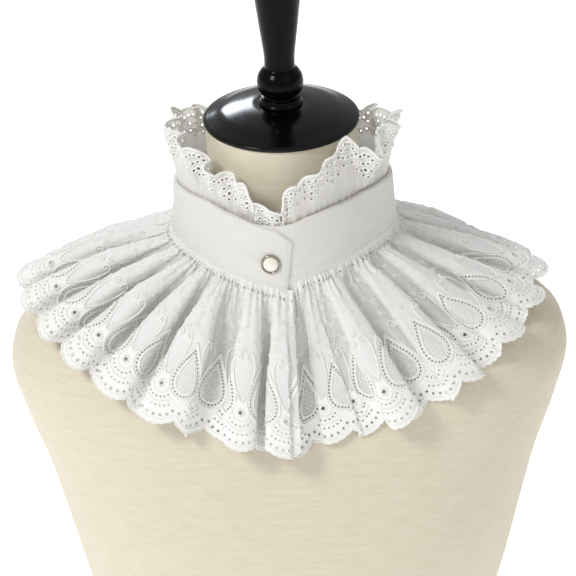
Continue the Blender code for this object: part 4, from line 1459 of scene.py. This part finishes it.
petals = [
    (x + k * flounce_pitch + PETAL_OUT * math.cos(a), w + PETAL_OUT * math.sin(a), PETAL_RADIUS)
    for k in range(FLOUNCE_SCALLOPS)
    for x, w in blossoms
    for a in np.radians(PETAL_ANGLES)
]
# The petals are worked flat into the sheer cloth, so they lie almost in it
blossom_set = rimmed("flounce_blossoms", flounce_cloth, np.array(petals), lift=0.02, width=0.62, segments=5)

# Snap
# A ring snap with a pearl cap: a domed mother of pearl disc of moulded resin, held in a bright
# nickel ring that is clenched through the band's upper end.
SNAP_TURN = 7.6
SNAP_Z = 450.5
SNAP_RADIUS = 6.0
SNAP_PEARL_RADIUS = 4.7
SNAP_PEARL_RISE = 1.9
SNAP_SEAT = 0.3
SNAP_COLUMNS = 64
SNAP_GAP = 0.15
SNAP_RING_HALF_RISE = 0.75
SNAP_PEARL_EDGE = 0.7
SNAP_SHARP_ANGLE = 60.0
NICKEL_DARK = "#8F887A"
NICKEL_LIGHT = "#B9B2A2"
PEARL_DARK = "#E4DFD2"
PEARL_LIGHT = "#FBF8F0"


def snap_frame():
    """Middle of the snap on the band's face, and its sideways, upward and outward directions."""
    height = float(band_plan(SNAP_TURN, "height"))
    part = (float(band_plan(SNAP_TURN, "top_z")) - SNAP_Z) / height
    centre = at_turn(band_radius(SNAP_TURN, part) + lap_lift(SNAP_TURN) + SNAP_SEAT, SNAP_TURN, SNAP_Z)
    above = at_turn(band_radius(SNAP_TURN, part - 0.1), SNAP_TURN, SNAP_Z + height * 0.1)
    below = at_turn(band_radius(SNAP_TURN, part + 0.1), SNAP_TURN, SNAP_Z - height * 0.1)
    up = (above - below) / np.linalg.norm(above - below)
    side = np.cross(up, at_turn(1.0, SNAP_TURN, 0.0))
    side /= np.linalg.norm(side)
    out = np.cross(side, up)
    out *= np.sign(np.dot(out, at_turn(1.0, SNAP_TURN, 0.0)))
    return centre, side, up, out


def snap_part(name, profile, closed, material, node):
    """A round part of the snap from radii and heights over its seat."""
    centre, side, up, out = snap_frame()
    angles = np.arange(SNAP_COLUMNS) * math.tau / SNAP_COLUMNS
    circle = np.cos(angles)[:, None] * side + np.sin(angles)[:, None] * up
    rows = [centre + circle * r + out * h for r, h in profile]
    if closed:
        rows.append(rows[0])
    make_faces = ring_faces if closed else capped_rings
    piece = cloth_mesh(name, np.array(rows), make_faces(SNAP_COLUMNS, len(rows)), [material])
    shape = bmesh.new()
    shape.from_mesh(piece.data)
    bmesh.ops.remove_doubles(shape, verts=shape.verts, dist=1e-7)
    bmesh.ops.recalc_face_normals(shape, faces=shape.faces)
    if shape.calc_volume(signed=True) < 0:
        bmesh.ops.reverse_faces(shape, faces=shape.faces)
    shape.to_mesh(piece.data)
    shape.free()
    piece.data.set_sharp_from_angle(angle=math.radians(SNAP_SHARP_ANGLE))
    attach(piece, "root")
    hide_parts(node)
    return piece


def nickel(name):
    """Nickel plated brass, pressed and tumbled: bright and slightly warm, with fine scratches."""
    material, tree, shader = new_finish(name)
    cloud = clouds(tree, 900.0, 3.0)
    finish = {
        "Base Color": shade(tree, cloud, NICKEL_DARK, NICKEL_LIGHT),
        "Roughness": polish(tree, cloud, 0.18, 0.34),
        "Metallic": 1.0,
    }
    feed(tree, shader, finish)
    return material


def pearl_resin(name):
    """Moulded pearl resin: creamy white with soft swirls and a clear gloss."""
    material, tree, shader = new_finish(name)
    swirl = clouds(tree, 260.0, 3.0, distortion=1.8)
    finish = {
        "Base Color": shade(tree, swirl, PEARL_DARK, PEARL_LIGHT),
        "Roughness": 0.22,
        "Coat Weight": 0.6,
    }
    feed(tree, shader, finish)
    return material


hole = SNAP_PEARL_RADIUS + SNAP_GAP
ring_middle = (SNAP_RADIUS + hole) / 2
ring_half = (SNAP_RADIUS - hole) / 2
ring_profile = [(SNAP_RADIUS, 0.0)]
ring_profile += [
    (ring_middle + ring_half * math.cos(a), SNAP_RING_HALF_RISE * (1.0 + math.sin(a)))
    for a in np.linspace(0.0, math.pi, 13)
]
ring_profile.append((hole, 0.0))
ring = snap_part("nickel_snap_ring", ring_profile, True, nickel("nickel_plate"), "snap_ring")
pearl_profile = [(SNAP_PEARL_RADIUS, 0.0), (SNAP_PEARL_RADIUS, SNAP_PEARL_EDGE)]
pearl_profile += [
    (SNAP_PEARL_RADIUS * math.cos(a), SNAP_PEARL_EDGE + SNAP_PEARL_RISE * math.sin(a))
    for a in np.linspace(0.1, 1.5, 12)
]
pearl = snap_part("pearl_snap_cap", pearl_profile, False, pearl_resin("pearl_resin"), "snap_pearl")

# Studio
# A plain white sweep, soft daylight from the upper left and the photograph's view from above.
FLOOR_SIZE = 30.0
VIEW_DOWN = math.radians(29.5)
VIEW_DISTANCE = 1.5
VIEW_ROLL = math.radians(-2.0)
VIEW_TARGET = Vector((0.0004, 0.0, 0.3946))
IMAGE_SIDE = 576
PIXEL_SIZE = 0.000632
SENSOR = 36.0

sweep, sweep_tree, sweep_shader = new_finish("white_sweep")
sweep_finish = {
    "Base Color": (0.9, 0.9, 0.9, 1.0),
    "Roughness": 1.0,
    "Specular IOR Level": 0.0,
    "Emission Color": (1.0, 1.0, 1.0, 1.0),
    "Emission Strength": 0.6,
}
feed(sweep_tree, sweep_shader, sweep_finish)
floor_mesh = bpy.data.meshes.new("floor")
side = FLOOR_SIZE / 2
floor_corners = [(-side, -side, 0.0), (side, -side, 0.0), (side, side, 0.0), (-side, side, 0.0)]
floor_mesh.from_pydata(floor_corners, [], [(0, 1, 2, 3)])
floor_mesh.materials.append(sweep)
floor = bpy.data.objects.new("floor", floor_mesh)
bpy.context.scene.collection.objects.link(floor)

world = bpy.data.worlds.new("studio")
bpy.context.scene.world = world
world.use_nodes = True
world.node_tree.nodes["Background"].inputs["Color"].default_value = (1.0, 1.0, 1.0, 1.0)
world.node_tree.nodes["Background"].inputs["Strength"].default_value = 0.46


def soft_light(name, place, target, size, power, colour=(1.0, 1.0, 1.0)):
    """A square softbox at a place in metres, turned to a target."""
    lamp = bpy.data.lights.new(name, "AREA")
    lamp.size = size
    lamp.color = colour
    lamp.energy = power
    box = bpy.data.objects.new(name, lamp)
    box.location = place
    box.rotation_euler = (Vector(target) - Vector(place)).to_track_quat("-Z", "Y").to_euler()
    bpy.context.scene.collection.objects.link(box)


soft_light("key", (-1.2, -0.95, 2.0), (0.0, 0.0, 0.42), 0.5, 21.0)
soft_light("fill", (1.0, -1.3, 1.7), (0.0, 0.0, 0.42), 1.2, 2.0, (1.0, 0.93, 0.82))
soft_light("back", (-0.52, 2.35, 1.55), (0.0, 0.0, 0.52), 0.58, 16.0, (0.86, 0.92, 1.0))

lens = bpy.data.cameras.new("photo_view")
lens.sensor_width = SENSOR
lens.lens = SENSOR * VIEW_DISTANCE / PIXEL_SIZE / IMAGE_SIDE
lens.clip_start = 0.05
lens.clip_end = 60.0
camera = bpy.data.objects.new("photo_view", lens)
bpy.context.scene.collection.objects.link(camera)
ahead = Vector((0.0, math.cos(VIEW_DOWN), -math.sin(VIEW_DOWN)))
above = Vector((0.0, math.sin(VIEW_DOWN), math.cos(VIEW_DOWN)))
across = Vector((1.0, 0.0, 0.0))
right = across * math.cos(VIEW_ROLL) + above * math.sin(VIEW_ROLL)
upward = -across * math.sin(VIEW_ROLL) + above * math.cos(VIEW_ROLL)
eye = VIEW_TARGET - VIEW_DISTANCE * ahead
camera.matrix_world = Matrix(
    (
        (right.x, upward.x, -ahead.x, eye.x),
        (right.y, upward.y, -ahead.y, eye.y),
        (right.z, upward.z, -ahead.z, eye.z),
        (0.0, 0.0, 0.0, 1.0),
    )
)
bpy.context.scene.camera = camera
bpy.context.scene.view_settings.view_transform = "Standard"
